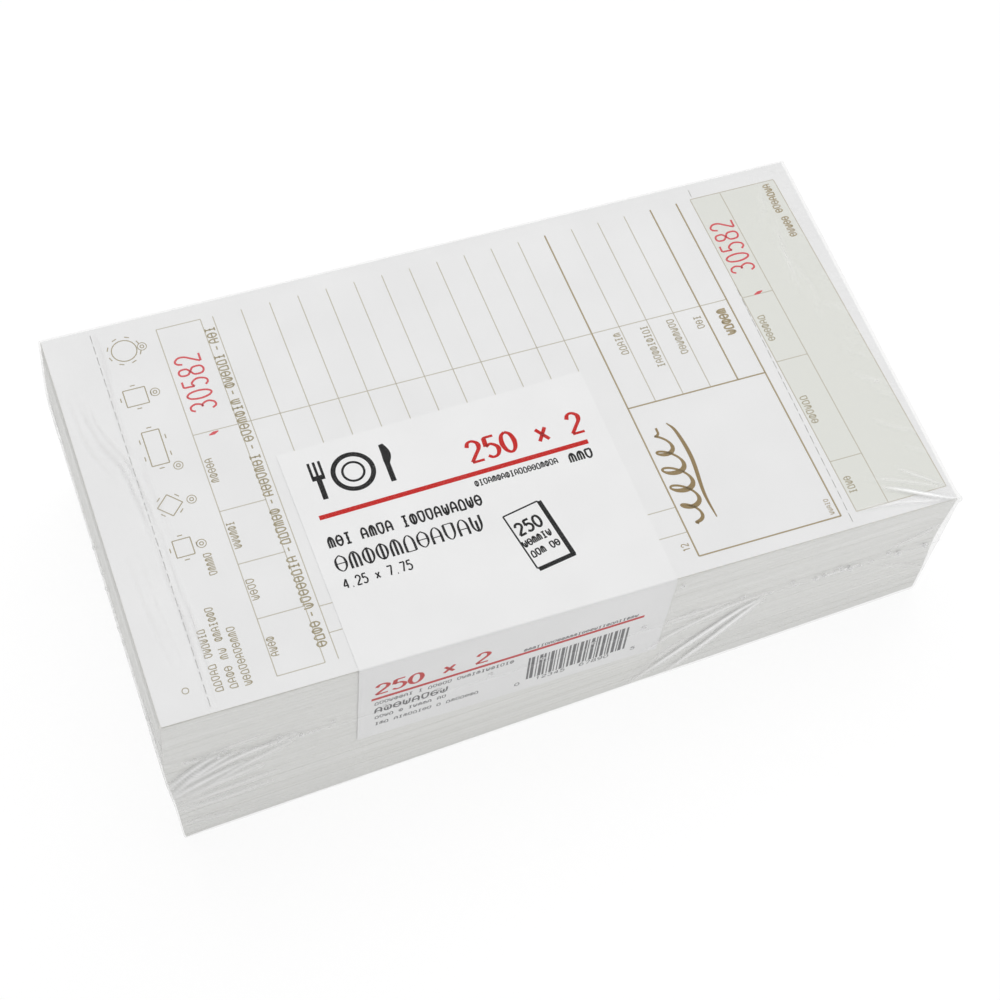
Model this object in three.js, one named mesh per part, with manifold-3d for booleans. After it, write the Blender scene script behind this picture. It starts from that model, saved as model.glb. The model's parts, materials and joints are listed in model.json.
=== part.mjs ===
// A shrink-wrapped pack of 250 loose two-part guest checks.
// The checks lie in one stack. Each one is glued at its stub, on the left, so the stack is a wedge:
// thick at the glued end and thinner at the free end, where the receipts are.
// A paper label slip lies on the top check and folds down over the front edge of the stack.
// Clear film is shrunk round everything, with a welded seam at mid height on the front and both ends.
// Millimetres. +X runs from the stubs to the receipts, +Y from the front to the back, +Z up.
// The origin is the middle of the lowest sheet, on the surface that the pack rests on.

import * as THREE from "three";
import { mergeVertices } from "three/addons/utils/BufferGeometryUtils.js";
import Module from "manifold-3d";

const wasm = await Module();
wasm.setup();

// One sheet
const sheetLength = 196.85;
const sheetWidth = 107.95;
const plyThickness = 0.1;
const stubLength = 11.7;
const receiptLength = 27.2;

// Perforations: a row of slits across the sheet, with ties of paper between them
const slitLength = 2.4;
const slitWidth = 0.15;
const tieLength = 0.9;

// Glue between the two plies of a check
const glueWidth = 4;
const glueMargin = 1.5;
const glueThickness = 0.03;
const glueSeat = 0.005;

// The stack, whose height is measured at each end of the pile
const checksInPack = 250;
const stubEndHeight = 71;
const freeEndHeight = 51;
const leanToFreeEnd = 4.2;
const leanToFront = 3.3;
const bundleCount = 50;
const airBetween = 0.02;

// How far the checks are from a square pile
const jogLength = 0.1;
const jogWidth = 0.07;
const jogTurn = 0.0003;
const stubBulge = 1.4;
const bulgeHeightShare = 0.62;
const bulgeSpread = 0.3;

// The label slip, folded over the front edge
const labelWidth = 77.9;
const labelOnTop = 60.2;
const labelFlap = 41;
const labelThickness = 0.14;
const labelBend = 0.4;
const labelFromStubEnd = 45.6;
const labelTurn = 0.018;
const labelGap = 0.06;
const flapClearance = 0.08;
const bendSteps = 6;

// The film
const filmThickness = 0.05;
const filmSideGap = 0.75;
const filmTopGap = 0.34;
const filmBottomGap = 0.05;
const filmEdgeRadius = 0.6;
const filmCornerRadius = 0.95;
const edgeSteps = 3;
const cornerSteps = 4;
const shortSideSteps = 6;
const longSideSteps = 14;
const sideRings = [0.33, 0.66];

// The welded seam of the film
const seamBead = 0.35;
const seamHalfHeight = 0.6;
const seamAtStubEnd = 44;
const seamAtFreeEnd = 28.5;
const seamCornerRise = 7.5;
const seamCornerReach = 12;
const seamFadesFrom = 0.6;
const ventDiameter = 1.1;
const ventPitch = 13;
const ventSides = 8;

const stackBase = filmThickness + filmBottomGap;
const halfLength = sheetLength / 2;
const halfWidth = sheetWidth / 2;

const paperColour = 0xecebe8;
const secondPlyColour = 0xe3e1d6;
const glueColour = 0xd9dedc;
const labelColour = 0xf4f4f2;
const filmColour = 0xf2f5f6;

const paper = (color) => new THREE.MeshStandardMaterial({ color, roughness: 0.85, metalness: 0 });

// The tilt of the sheet that lies at a share of the stack's height, 0 at the bottom and 1 at the top.
function tiltAt(share) {
  return Math.asin((share * (stubEndHeight - freeEndHeight)) / sheetLength);
}

// How far the stub ends stand out from a straight pile, swelling above mid height.
function bulgeAt(share) {
  const away = (share - bulgeHeightShare) / bulgeSpread;
  return stubBulge * Math.exp(-away * away);
}

// A point of the stack. along runs from -halfLength at the stubs to halfLength, across from the front
// to the back, and up is measured square to the sheet that lies at that share of the height.
function stackPoint(share, along, across, up = 0) {
  const tilt = tiltAt(share);
  const middle = stackBase + (share * (stubEndHeight + freeEndHeight)) / 2;
  return new THREE.Vector3(
    leanToFreeEnd * share - bulgeAt(share) + along * Math.cos(tilt) + up * Math.sin(tilt),
    across - leanToFront * share,
    middle - along * Math.sin(tilt) + up * Math.cos(tilt),
  );
}

// A closed body from rings of as many points each, wound the same way round, with flat ends.
function loft(rings) {
  const size = rings[0].length;
  const positions = rings.flat().flatMap((p) => [p.x, p.y, p.z]);
  const faces = [];
  for (let ring = 0; ring + 1 < rings.length; ring += 1) {
    for (let i = 0; i < size; i += 1) {
      const a = ring * size + i;
      const b = ring * size + ((i + 1) % size);
      faces.push(a, b, b + size, a, b + size, a + size);
    }
  }
  const last = (rings.length - 1) * size;
  for (let i = 1; i + 1 < size; i += 1) {
    faces.push(0, i + 1, i);
    faces.push(last, last + i, last + i + 1);
  }
  const geometry = new THREE.BufferGeometry();
  geometry.setAttribute("position", new THREE.Float32BufferAttribute(positions, 3));
  geometry.setIndex(faces);
  return geometry;
}

// A named mesh of a geometry.
function piece(name, geometry, material) {
  geometry.computeVertexNormals();
  const mesh = new THREE.Mesh(geometry, material);
  mesh.name = name;
  return mesh;
}

// A manifold solid from a closed geometry.
function solidFrom(geometry) {
  const bare = new THREE.BufferGeometry();
  bare.setAttribute("position", geometry.getAttribute("position"));
  bare.setIndex(geometry.getIndex());
  const merged = mergeVertices(bare, 1e-4);
  const vertProperties = new Float32Array(merged.getAttribute("position").array);
  const triVerts = new Uint32Array(merged.getIndex().array);
  return new wasm.Manifold(new wasm.Mesh({ numProp: 3, vertProperties, triVerts }));
}

// The geometry of a manifold solid.
function geometryFrom(solid) {
  const mesh = solid.getMesh();
  const geometry = new THREE.BufferGeometry();
  geometry.setAttribute("position", new THREE.BufferAttribute(mesh.vertProperties, 3));
  geometry.setIndex(new THREE.BufferAttribute(mesh.triVerts, 1));
  return geometry;
}

// The bundles of checks

// How one bundle lies off the straight pile: a steady wander that never repeats within the stack.
function jogOf(bundle) {
  return {
    along: jogLength * Math.sin(bundle * 2.4) * Math.cos(bundle * 0.7),
    across: jogWidth * Math.sin(bundle * 1.7 + 1.1),
    turn: jogTurn * Math.sin(bundle * 3.1 + 0.4),
  };
}

// The outline of a sheet at a share of the height, moved and turned by its jog.
function sheetOutline(share, jog, up) {
  const corners = [
    [-halfLength, -halfWidth],
    [halfLength, -halfWidth],
    [halfLength, halfWidth],
    [-halfLength, halfWidth],
  ];
  return corners.map(([x, y]) => {
    const along = x * Math.cos(jog.turn) - y * Math.sin(jog.turn) + jog.along;
    const across = x * Math.sin(jog.turn) + y * Math.cos(jog.turn) + jog.across;
    return stackPoint(share, along, across, up);
  });
}

// The first check is made ply by ply at the top, and the others lie under it in bundles.
const plySpacing = glueThickness + 2 * glueSeat;
const firstCheckThickness = 2 * plyThickness + plySpacing + airBetween;
const firstCheckShare = 1 - firstCheckThickness / freeEndHeight;
const checksInBundles = checksInPack - 1;

// The number, counted from the top, of the first check in a bundle that is counted from the top.
function firstCheckOf(bundle) {
  return 2 + Math.round((bundle * checksInBundles) / bundleCount);
}

function bundleOfChecks(bundle) {
  const first = firstCheckOf(bundle);
  const last = firstCheckOf(bundle + 1) - 1;
  const topShare = firstCheckShare * (1 - (first - 2) / checksInBundles);
  const bottomShare = firstCheckShare * (1 - (last - 1) / checksInBundles);
  const jog = jogOf(bundle);
  const bottom = sheetOutline(bottomShare, jog, 0);
  const top = sheetOutline(topShare, jog, -airBetween);
  const number = (check) => String(check).padStart(3, "0");
  return piece(`checks_${number(first)}_to_${number(last)}`, loft([bottom, top]), paper(paperColour));
}

// The first check, ply by ply

// A flat slab between two places along and two across the sheet, lying on the plane z = 0.
function slab(left, right, front, back, thickness) {
  const geometry = new THREE.BoxGeometry(right - left, back - front, thickness);
  return geometry.translate((left + right) / 2, (front + back) / 2, thickness / 2);
}

// The slits of one perforation, at one place along the sheet, cut right through its thickness.
function slitCutters(along) {
  const pitch = slitLength + tieLength;
  const slits = Math.floor((sheetWidth - tieLength) / pitch);
  const start = -(slits * pitch - tieLength) / 2;
  return Array.from({ length: slits }, (_, i) => {
    const front = start + i * pitch;
    const sides = [along - slitWidth / 2, along + slitWidth / 2];
    return slab(...sides, front, front + slitLength, 3 * plyThickness).translate(0, 0, -plyThickness);
  });
}

// Lays flat geometry on the top of the stack, with its underside at a depth under the top plane.
function layOnTop(geometry, depth) {
  const placed = new THREE.Matrix4().makeRotationY(tiltAt(1));
  placed.setPosition(stackPoint(1, 0, 0, -depth));
  return geometry.applyMatrix4(placed);
}

function checkPly(name, depth, color) {
  let sheet = solidFrom(slab(-halfLength, halfLength, -halfWidth, halfWidth, plyThickness));
  const perforations = [-halfLength + stubLength, halfLength - receiptLength];
  for (const cutter of perforations.flatMap(slitCutters)) {
    sheet = sheet.subtract(solidFrom(cutter));
  }
  return piece(name, layOnTop(geometryFrom(sheet), depth), paper(color));
}

function glueLine() {
  const left = -halfLength + glueMargin;
  const front = -halfWidth + glueMargin;
  const strip = slab(left, left + glueWidth, front, -front, glueThickness);
  const depth = plyThickness + glueSeat + glueThickness;
  const material = new THREE.MeshStandardMaterial({ color: glueColour, roughness: 0.4, metalness: 0 });
  return piece("first_check_glue_line", layOnTop(strip, depth), material);
}

// The label slip

// The flap hangs clear of the checks that stand out furthest at the front.
const flapStandOff = jogWidth + jogTurn * halfLength + flapClearance;
const labelArc = (labelBend * Math.PI) / 2;

// The height of the pile at a place along it.
function pileHeightAt(along) {
  return stubEndHeight + ((freeEndHeight - stubEndHeight) * (along + halfLength)) / sheetLength;
}

// A point on the label's path, at a signed distance from the bend: positive on top of the stack and
// negative round the bend and down the front. lift is outwards, from the label's inner face.
function labelPoint(along, distance, lift) {
  const front = -halfWidth - labelGap - flapStandOff;
  if (distance > 0) {
    return stackPoint(1, along, front + labelBend + distance, labelGap + lift);
  }
  if (distance < -labelArc) {
    const drop = labelGap - labelBend + distance + labelArc;
    const point = stackPoint(1, along, front - lift, drop);
    point.y -= (leanToFront * drop) / pileHeightAt(along);
    return point;
  }
  const angle = -distance / labelBend;
  const radius = labelBend + lift;
  const across = front + labelBend - radius * Math.sin(angle);
  return stackPoint(1, along, across, labelGap - labelBend + radius * Math.cos(angle));
}

function labelSlip() {
  const left = -halfLength + labelFromStubEnd;
  const skew = Math.tan(labelTurn);
  const stations = [[-labelFlap, -labelFlap + labelWidth * skew]];
  for (let step = 0; step <= bendSteps; step += 1) {
    const distance = -labelArc + (labelArc * step) / bendSteps;
    stations.push([distance, distance]);
  }
  const topEnd = labelOnTop - labelBend;
  stations.push([topEnd, topEnd + labelWidth * skew]);
  const rings = stations.map(([atLeft, atRight]) => {
    const leftEdge = left - atLeft * skew;
    const rightEdge = left + labelWidth - atRight * skew;
    return [
      labelPoint(leftEdge, atLeft, 0),
      labelPoint(leftEdge, atLeft, labelThickness),
      labelPoint(rightEdge, atRight, labelThickness),
      labelPoint(rightEdge, atRight, 0),
    ];
  });
  return piece("label_slip", loft(rings), paper(labelColour));
}

// The film

// The seam's height on the front, which rises near the stub end.
function seamHeightAt(alongShare) {
  const rise = seamCornerRise * Math.exp((-alongShare * sheetLength) / seamCornerReach);
  return seamAtStubEnd + (seamAtFreeEnd - seamAtStubEnd) * alongShare + rise;
}

// The outline of the film round a sheet, grown outwards from it, with rounded corners.
// Each point keeps its share of the length, 0 at the stub end and 1 at the free end.
function filmOutline(grow) {
  const radius = filmCornerRadius;
  const x = halfLength + grow - radius;
  const y = halfWidth + grow - radius;
  const corners = [
    [x, -y, -90],
    [x, y, 0],
    [-x, y, 90],
    [-x, -y, 180],
  ];
  const points = [];
  corners.forEach(([cx, cy, start], index) => {
    for (let step = 0; step <= cornerSteps; step += 1) {
      const angle = THREE.MathUtils.degToRad(start + (90 * step) / cornerSteps);
      points.push([cx + radius * Math.cos(angle), cy + radius * Math.sin(angle)]);
    }
    const steps = index % 2 === 0 ? shortSideSteps : longSideSteps;
    const [nx, ny, nextStart] = corners[(index + 1) % 4];
    const from = points[points.length - 1];
    const turn = THREE.MathUtils.degToRad(nextStart);
    const to = [nx + radius * Math.cos(turn), ny + radius * Math.sin(turn)];
    for (let step = 1; step < steps; step += 1) {
      const s = step / steps;
      points.push([from[0] + (to[0] - from[0]) * s, from[1] + (to[1] - from[1]) * s]);
    }
  });
  return points;
}

// The free end of the film is drawn straight over the checks, so it doesn't follow their bulge there.
function filmPoint(share, along, across, up) {
  const point = stackPoint(share, along, across, up);
  const towardsFreeEnd = (along + halfLength) / sheetLength;
  point.x += bulgeAt(share) * THREE.MathUtils.clamp(towardsFreeEnd, 0, 1);
  return point;
}

// The closed surface of the film, inset by the film's thickness for its inner face.
function filmSurface(inset, bead) {
  const side = filmSideGap + filmThickness - inset;
  const above = filmTopGap + filmThickness - inset;
  const below = stackBase - inset;
  const round = filmEdgeRadius - inset;
  const rings = [];
  const ring = (grow, shareOf, up) => {
    const points = filmOutline(grow);
    rings.push(points.map(([x, y]) => filmPoint(shareOf(x, y), x, y, up)));
  };
  for (let step = 0; step <= edgeSteps; step += 1) {
    const angle = (Math.PI / 2) * (step / edgeSteps);
    ring(side - round + round * Math.sin(angle), () => 0, -below + round - round * Math.cos(angle));
  }
  const seamShare = (x) => {
    const along = THREE.MathUtils.clamp(x, -halfLength, halfLength);
    const height = seamHeightAt((along + halfLength) / sheetLength);
    return { share: height / pileHeightAt(along), half: seamHalfHeight / pileHeightAt(along) };
  };
  const backFade = (y) => 1 - THREE.MathUtils.smoothstep(y, halfWidth * seamFadesFrom, halfWidth);
  sideRings.forEach((part) => ring(side, (x) => part * seamShare(x).share, 0));
  const underSeam = (x) => seamShare(x).share - seamShare(x).half;
  const overSeam = (x) => seamShare(x).share + seamShare(x).half;
  ring(side, underSeam, 0);
  const crest = filmOutline(side + bead);
  rings.push(
    filmOutline(side).map(([x, y], index) => {
      const beadX = x + (crest[index][0] - x) * backFade(y);
      const beadY = y + (crest[index][1] - y) * backFade(y);
      return filmPoint(seamShare(x).share, beadX, beadY, 0);
    }),
  );
  ring(side, overSeam, 0);
  sideRings.forEach((part) => {
    ring(side, (x) => overSeam(x) + part * (1 - overSeam(x)), 0);
  });
  for (let step = edgeSteps; step >= 0; step -= 1) {
    const angle = (Math.PI / 2) * (step / edgeSteps);
    ring(side - round + round * Math.sin(angle), () => 1, above - round + round * Math.cos(angle));
  }
  return loft(rings);
}

// The vents that let the air out while the film shrinks, in a row just over the front seam.
function ventCutters() {
  const vents = Math.floor((sheetLength - ventPitch) / ventPitch);
  const cutters = [];
  for (let i = 0; i < vents; i += 1) {
    const along = (sheetLength - (vents - 1) * ventPitch) / 2 + i * ventPitch;
    const height = seamHeightAt(along / sheetLength) + 2 * seamHalfHeight + ventDiameter / 2;
    const share = height / pileHeightAt(along - halfLength);
    const centre = filmPoint(share, along - halfLength, -halfWidth - filmSideGap, 0);
    const depth = 2 * (filmThickness + seamBead);
    const cutter = new THREE.CylinderGeometry(ventDiameter / 2, ventDiameter / 2, depth, ventSides);
    cutter.translate(centre.x, centre.y, centre.z);
    cutters.push(cutter);
  }
  return cutters;
}

function shrinkFilm() {
  let film = solidFrom(filmSurface(0, seamBead)).subtract(solidFrom(filmSurface(filmThickness, 0)));
  for (const cutter of ventCutters()) {
    film = film.subtract(solidFrom(cutter));
  }
  const material = new THREE.MeshStandardMaterial({
    color: filmColour,
    roughness: 0.12,
    metalness: 0,
    transparent: true,
    opacity: 0.2,
  });
  return piece("shrink_film", geometryFrom(film), material);
}

// The pack

const pack = new THREE.Group();
pack.name = "guest_check_pack";

const stack = new THREE.Group();
for (let bundle = 0; bundle < bundleCount; bundle += 1) {
  stack.add(bundleOfChecks(bundle));
}

const firstCheck = new THREE.Group();
firstCheck.add(checkPly("first_check_top_copy", plyThickness, paperColour));
firstCheck.add(glueLine());
firstCheck.add(checkPly("first_check_second_copy", 2 * plyThickness + plySpacing, secondPlyColour));

pack.add(stack, firstCheck, labelSlip(), shrinkFilm());

export default pack;
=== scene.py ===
"""A shrink-wrapped pack of loose guest checks with a folded label slip.

The checks lie in a leaning wedge, thick at the glued stubs and thin at the receipts. This script
dresses the sheets, prints the form and the label with plain numbers and letter-like marks, draws
the edge of every check, and stretches the creased clear film round the pack.

Every size is in metres, in the frame of the part: +X from the stubs to the receipts, +Y from the
front to the back, +Z up. A place on the top sheet is given as (u, v), in millimetres from the stub
end and from the front edge.
"""

import json
import logging
import math
from dataclasses import dataclass, field
from enum import Enum
from typing import Callable, Sequence

import bpy
import numpy as np
from mathutils import Euler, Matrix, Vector

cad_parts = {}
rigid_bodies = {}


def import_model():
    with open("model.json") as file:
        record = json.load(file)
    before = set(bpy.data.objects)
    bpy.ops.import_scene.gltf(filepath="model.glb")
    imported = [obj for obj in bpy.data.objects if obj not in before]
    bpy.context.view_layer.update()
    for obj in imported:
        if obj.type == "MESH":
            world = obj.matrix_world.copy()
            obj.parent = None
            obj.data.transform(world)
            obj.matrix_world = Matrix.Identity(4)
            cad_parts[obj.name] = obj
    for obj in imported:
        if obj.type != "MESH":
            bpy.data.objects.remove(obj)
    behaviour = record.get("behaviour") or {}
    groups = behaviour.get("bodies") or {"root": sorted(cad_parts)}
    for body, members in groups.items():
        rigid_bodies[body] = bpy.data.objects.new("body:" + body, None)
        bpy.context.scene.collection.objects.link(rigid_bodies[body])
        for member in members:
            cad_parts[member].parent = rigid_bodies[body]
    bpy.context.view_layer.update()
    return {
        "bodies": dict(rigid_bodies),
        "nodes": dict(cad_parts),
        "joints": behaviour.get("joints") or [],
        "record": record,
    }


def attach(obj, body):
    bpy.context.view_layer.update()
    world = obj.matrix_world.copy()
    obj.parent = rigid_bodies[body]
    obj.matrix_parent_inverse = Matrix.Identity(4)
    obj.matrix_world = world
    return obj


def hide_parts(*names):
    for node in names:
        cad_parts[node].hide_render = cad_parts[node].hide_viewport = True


MM = 0.001
log = logging.getLogger("pack")

Array = np.ndarray
Surface = Callable[[Array, Array], Array]


# Shader expressions


class Field:
    """A shader socket that takes part in Python expressions."""

    def __init__(self, graph: "Graph", socket: bpy.types.NodeSocket) -> None:
        """Wraps a socket of a graph."""
        self.graph = graph
        self.socket = socket

    def _math(self, operation: str, *values: object) -> "Field":
        """A Math node on these values.

        Args:
            operation: the Math node's operation.
            values: its inputs in order, as fields or numbers.

        Returns:
            The node's value.
        """
        settings = {"operation": operation}
        inputs = dict(enumerate(values))
        return self.graph.node("ShaderNodeMath", settings, inputs).field(0)

    def __add__(self, other: object) -> "Field":
        """The sum."""
        return self._math("ADD", self, other)

    __radd__ = __add__

    def __mul__(self, other: object) -> "Field":
        """The product."""
        return self._math("MULTIPLY", self, other)

    __rmul__ = __mul__

    def __sub__(self, other: object) -> "Field":
        """The difference."""
        return self._math("SUBTRACT", self, other)

    def __rsub__(self, other: object) -> "Field":
        """The difference, with this field taken away."""
        return self._math("SUBTRACT", other, self)

    def __pow__(self, power: float) -> "Field":
        """This field raised to a power."""
        return self._math("POWER", self, power)

    def clamped(self) -> "Field":
        """This field kept between 0 and 1."""
        return self._math("MINIMUM", self._math("MAXIMUM", self, 0.0), 1.0)

    def over(self, low: float, high: float) -> "Field":
        """0 below low, 1 over high, and a straight rise between them."""
        return ((self - low) * (1.0 / (high - low))).clamped()


class Built:
    """A node that has been added to a graph."""

    def __init__(self, graph: "Graph", made: bpy.types.Node) -> None:
        """Wraps a node of a graph."""
        self.graph = graph
        self.made = made

    def field(self, output: int | str) -> Field:
        """One of the node's outputs."""
        return Field(self.graph, self.made.outputs[output])


class Graph:
    """The nodes of one material, added by short calls."""

    def __init__(self, name: str) -> None:
        """Starts an empty material."""
        self.material = bpy.data.materials.new(name)
        self.material.use_nodes = True
        self.tree = self.material.node_tree
        self.tree.nodes.clear()

    def node(self, kind: str, settings: dict | None = None, inputs: dict | None = None) -> Built:
        """Adds a node.

        Args:
            kind: the node's type name.
            settings: its properties, which are set first.
            inputs: a value, field or built node for each socket, by name or number.

        Returns:
            The node.
        """
        made = self.tree.nodes.new(kind)
        for key, value in (settings or {}).items():
            setattr(made, key, value)
        for key, value in (inputs or {}).items():
            if isinstance(value, Built):
                value = value.field(0)
            if isinstance(value, Field):
                self.tree.links.new(value.socket, made.inputs[key])
            else:
                made.inputs[key].default_value = value
        return Built(self, made)

    def place(self, scale: tuple[float, float, float] = (1, 1, 1)) -> Field:
        """The Object coordinates, stretched."""
        source = self.node("ShaderNodeTexCoord").field("Object")
        return self.node("ShaderNodeMapping", {}, {"Vector": source, "Scale": scale}).field(0)

    def noise(self, vector: Field, scale: float, detail: float = 3.0) -> Field:
        """Fractal noise between 0 and 1."""
        inputs = {"Vector": vector, "Scale": scale, "Detail": detail}
        return self.node("ShaderNodeTexNoise", {}, inputs).field("Fac")

    def blend(self, share: object, first: tuple, second: tuple) -> Field:
        """A colour between two others."""
        settings = {"data_type": "RGBA"}
        inputs = {0: share, 6: (*first, 1.0), 7: (*second, 1.0)}
        return self.node("ShaderNodeMix", settings, inputs).field(2)

    def attribute(self, name: str) -> Field:
        """A number stored on the piece's vertices."""
        return self.node("ShaderNodeAttribute", {"attribute_name": name}).field("Fac")

    def bump(self, height: Field, strength: float, depth: float) -> Field:
        """A bumped normal.

        Args:
            height: the relief, from 0 to 1.
            strength: how much of the bump is used.
            depth: the height of a full step, in metres.

        Returns:
            The normal.
        """
        inputs = {"Height": height, "Strength": strength, "Distance": depth}
        return self.node("ShaderNodeBump", {}, inputs).field(0)

    def finish(self, shader: Built) -> bpy.types.Material:
        """Joins the shader to the output and gives back the material."""
        self.node("ShaderNodeOutputMaterial", {}, {"Surface": shader})
        return self.material


def linear(red: int, green: int, blue: int) -> tuple[float, float, float]:
    """A screen colour, from 0 to 255, as the linear colour that a shader takes."""
    levels = (red / 255, green / 255, blue / 255)
    return tuple(c / 12.92 if c < 0.04045 else ((c + 0.055) / 1.055) ** 2.4 for c in levels)


# Finishes


@dataclass(frozen=True)
class PaperFinish:
    """Smooth writing paper: faint cloudiness, fibres in the tooth."""

    name: str
    light: tuple[float, float, float]
    shade: tuple[float, float, float]
    cloud_scale: float = 60.0
    fibre_scale: float = 2600.0
    tooth: float = 0.00002

    def material(self) -> bpy.types.Material:
        """Builds the material."""
        graph = Graph(self.name)
        cloud = graph.noise(graph.place(), self.cloud_scale, 4.0)
        fibres = graph.noise(graph.place((1.0, 0.35, 1.0)), self.fibre_scale, 2.0)
        speck = (fibres - 0.5) * 0.35 + cloud
        inputs = {
            "Base Color": graph.blend(speck.over(0.3, 0.75), self.shade, self.light),
            "Roughness": 0.72 + fibres * 0.16,
            "Specular IOR Level": 0.3,
            "Normal": graph.bump(fibres, 0.35, self.tooth),
        }
        return graph.finish(graph.node("ShaderNodeBsdfPrincipled", {}, inputs))


@dataclass(frozen=True)
class EdgeFinish:
    """The cut edges of stacked sheets: streaks along the sheets and a slight tone for each check."""

    name: str
    light: tuple[float, float, float]
    shade: tuple[float, float, float]
    along_scale: float = 14.0
    layer_scale: float = 900.0

    def material(self) -> bpy.types.Material:
        """Builds the material."""
        graph = Graph(self.name)
        stretched = graph.place((1.0, 1.0, self.layer_scale / self.along_scale))
        streaks = graph.noise(stretched, self.along_scale, 4.0)
        fibres = graph.noise(graph.place(), 1900.0, 2.0)
        mixed = streaks * 0.7 + graph.attribute("tone") * 0.4 + (fibres - 0.5) * 0.25
        inputs = {
            "Base Color": graph.blend(mixed.over(0.25, 0.85), self.shade, self.light),
            "Roughness": 0.78 + fibres * 0.14,
            "Specular IOR Level": 0.2,
            "Normal": graph.bump(streaks, 0.3, 0.00004),
        }
        return graph.finish(graph.node("ShaderNodeBsdfPrincipled", {}, inputs))


@dataclass(frozen=True)
class InkFinish:
    """Printing ink on paper: slightly uneven cover, with the paper's tooth in it."""

    name: str
    colour: tuple[float, float, float]
    paper: tuple[float, float, float]
    cover: float = 0.9

    def material(self) -> bpy.types.Material:
        """Builds the material."""
        graph = Graph(self.name)
        grain = graph.noise(graph.place(), 3200.0, 2.0)
        patch = graph.noise(graph.place(), 240.0, 2.0)
        share = (grain * 0.5 + patch * 0.5).over(0.25, 0.45) * 0.05 + (self.cover - 0.05)
        inputs = {
            "Base Color": graph.blend(share.clamped(), self.paper, self.colour),
            "Roughness": 0.6 + grain * 0.2,
            "Specular IOR Level": 0.1,
        }
        return graph.finish(graph.node("ShaderNodeBsdfPrincipled", {}, inputs))


@dataclass(frozen=True)
class GlueFinish:
    """Dried padding glue, slightly shiny and uneven."""

    name: str
    light: tuple[float, float, float]
    shade: tuple[float, float, float]

    def material(self) -> bpy.types.Material:
        """Builds the material."""
        graph = Graph(self.name)
        ripple = graph.noise(graph.place(), 420.0, 3.0)
        inputs = {
            "Base Color": graph.blend(ripple, self.shade, self.light),
            "Roughness": 0.3 + ripple * 0.25,
            "Normal": graph.bump(ripple, 0.5, 0.00003),
        }
        return graph.finish(graph.node("ShaderNodeBsdfPrincipled", {}, inputs))


@dataclass(frozen=True)
class FilmFinish:
    """Clear shrink film: gloss that grows at grazing angles, white haze where the film is drawn up, painted
    highlights on its creases and grey painted shade along them.
    """

    name: str
    # The first colour is the white of the haze and of the painted highlights, the second the grey of the
    # painted shade.
    haze_and_highlight_white: tuple[float, float, float]
    painted_shadow_grey: tuple[float, float, float]
    clear_gloss: float = 0.008
    edge_gloss: float = 0.25
    painted_light_and_haze: float = 0.95
    crease_gloss: float = 0.15

    def material(self) -> bpy.types.Material:
        """Builds the material: clear film, mixed by the crease and shadow attributes with white haze and
        painted highlight and with grey painted shade, then with gloss by the angle.
        """
        graph = Graph(self.name)
        crease = graph.attribute("crease")
        shadow = graph.attribute("shadow")
        ripple = graph.noise(graph.place((1.0, 1.0, 1.6)), 210.0, 3.0)
        fine = graph.noise(graph.place(), 900.0, 2.0)
        normal = graph.bump(ripple * 0.8 + fine * 0.2, 0.35, 0.0002)
        facing = graph.node("ShaderNodeLayerWeight", {}, {"Blend": 0.5}).field("Facing")
        gloss_share = facing ** 4.0 * self.edge_gloss + crease ** 2.0 * self.crease_gloss + self.clear_gloss
        # This share holds the film's own haze, the painted highlights of the creases and their painted shade.
        haze_and_painted_light_share = (crease + shadow).clamped() * (self.painted_light_and_haze - 0.12 + fine * 0.24)
        tone = (shadow * 1.5).clamped()
        haze_inputs = {
            "Base Color": graph.blend(tone, self.haze_and_highlight_white, self.painted_shadow_grey),
            "Roughness": 0.5 + fine * 0.2,
            "Normal": normal,
        }
        haze = graph.node("ShaderNodeBsdfPrincipled", {}, haze_inputs)
        clear = graph.node("ShaderNodeBsdfTransparent", {}, {"Color": (1, 1, 1, 1)})
        gloss_inputs = {"Color": (1, 1, 1, 1), "Roughness": 0.14, "Normal": normal}
        gloss = graph.node("ShaderNodeBsdfGlossy", {}, gloss_inputs)
        body = graph.node("ShaderNodeMixShader", {}, {0: haze_and_painted_light_share.clamped(), 1: clear, 2: haze})
        return graph.finish(graph.node("ShaderNodeMixShader", {}, {0: gloss_share, 1: body, 2: gloss}))


PAPER_WHITE = linear(240, 240, 240)


class Ink(Enum):
    """The inks of the form and the label."""

    LINE = InkFinish("line_ink", linear(192, 186, 169), PAPER_WHITE)
    WORD = InkFinish("word_ink", linear(164, 153, 122), PAPER_WHITE, 0.94)
    BROWN = InkFinish("brown_ink", linear(166, 150, 116), PAPER_WHITE, 0.95)
    PEN = InkFinish("pen_ink", linear(146, 124, 82), PAPER_WHITE, 0.98)
    RED = InkFinish("red_ink", linear(216, 72, 78), PAPER_WHITE, 0.94)
    LABEL_RED = InkFinish("label_red_ink", linear(200, 20, 14), PAPER_WHITE, 1.0)
    BLACK = InkFinish("black_ink", linear(14, 14, 16), PAPER_WHITE, 1.0)
    GREY = InkFinish("grey_ink", linear(92, 92, 94), PAPER_WHITE, 0.95)
    TINT = InkFinish("receipt_tint", linear(230, 231, 225), PAPER_WHITE, 1.0)


# Shapes


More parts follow.
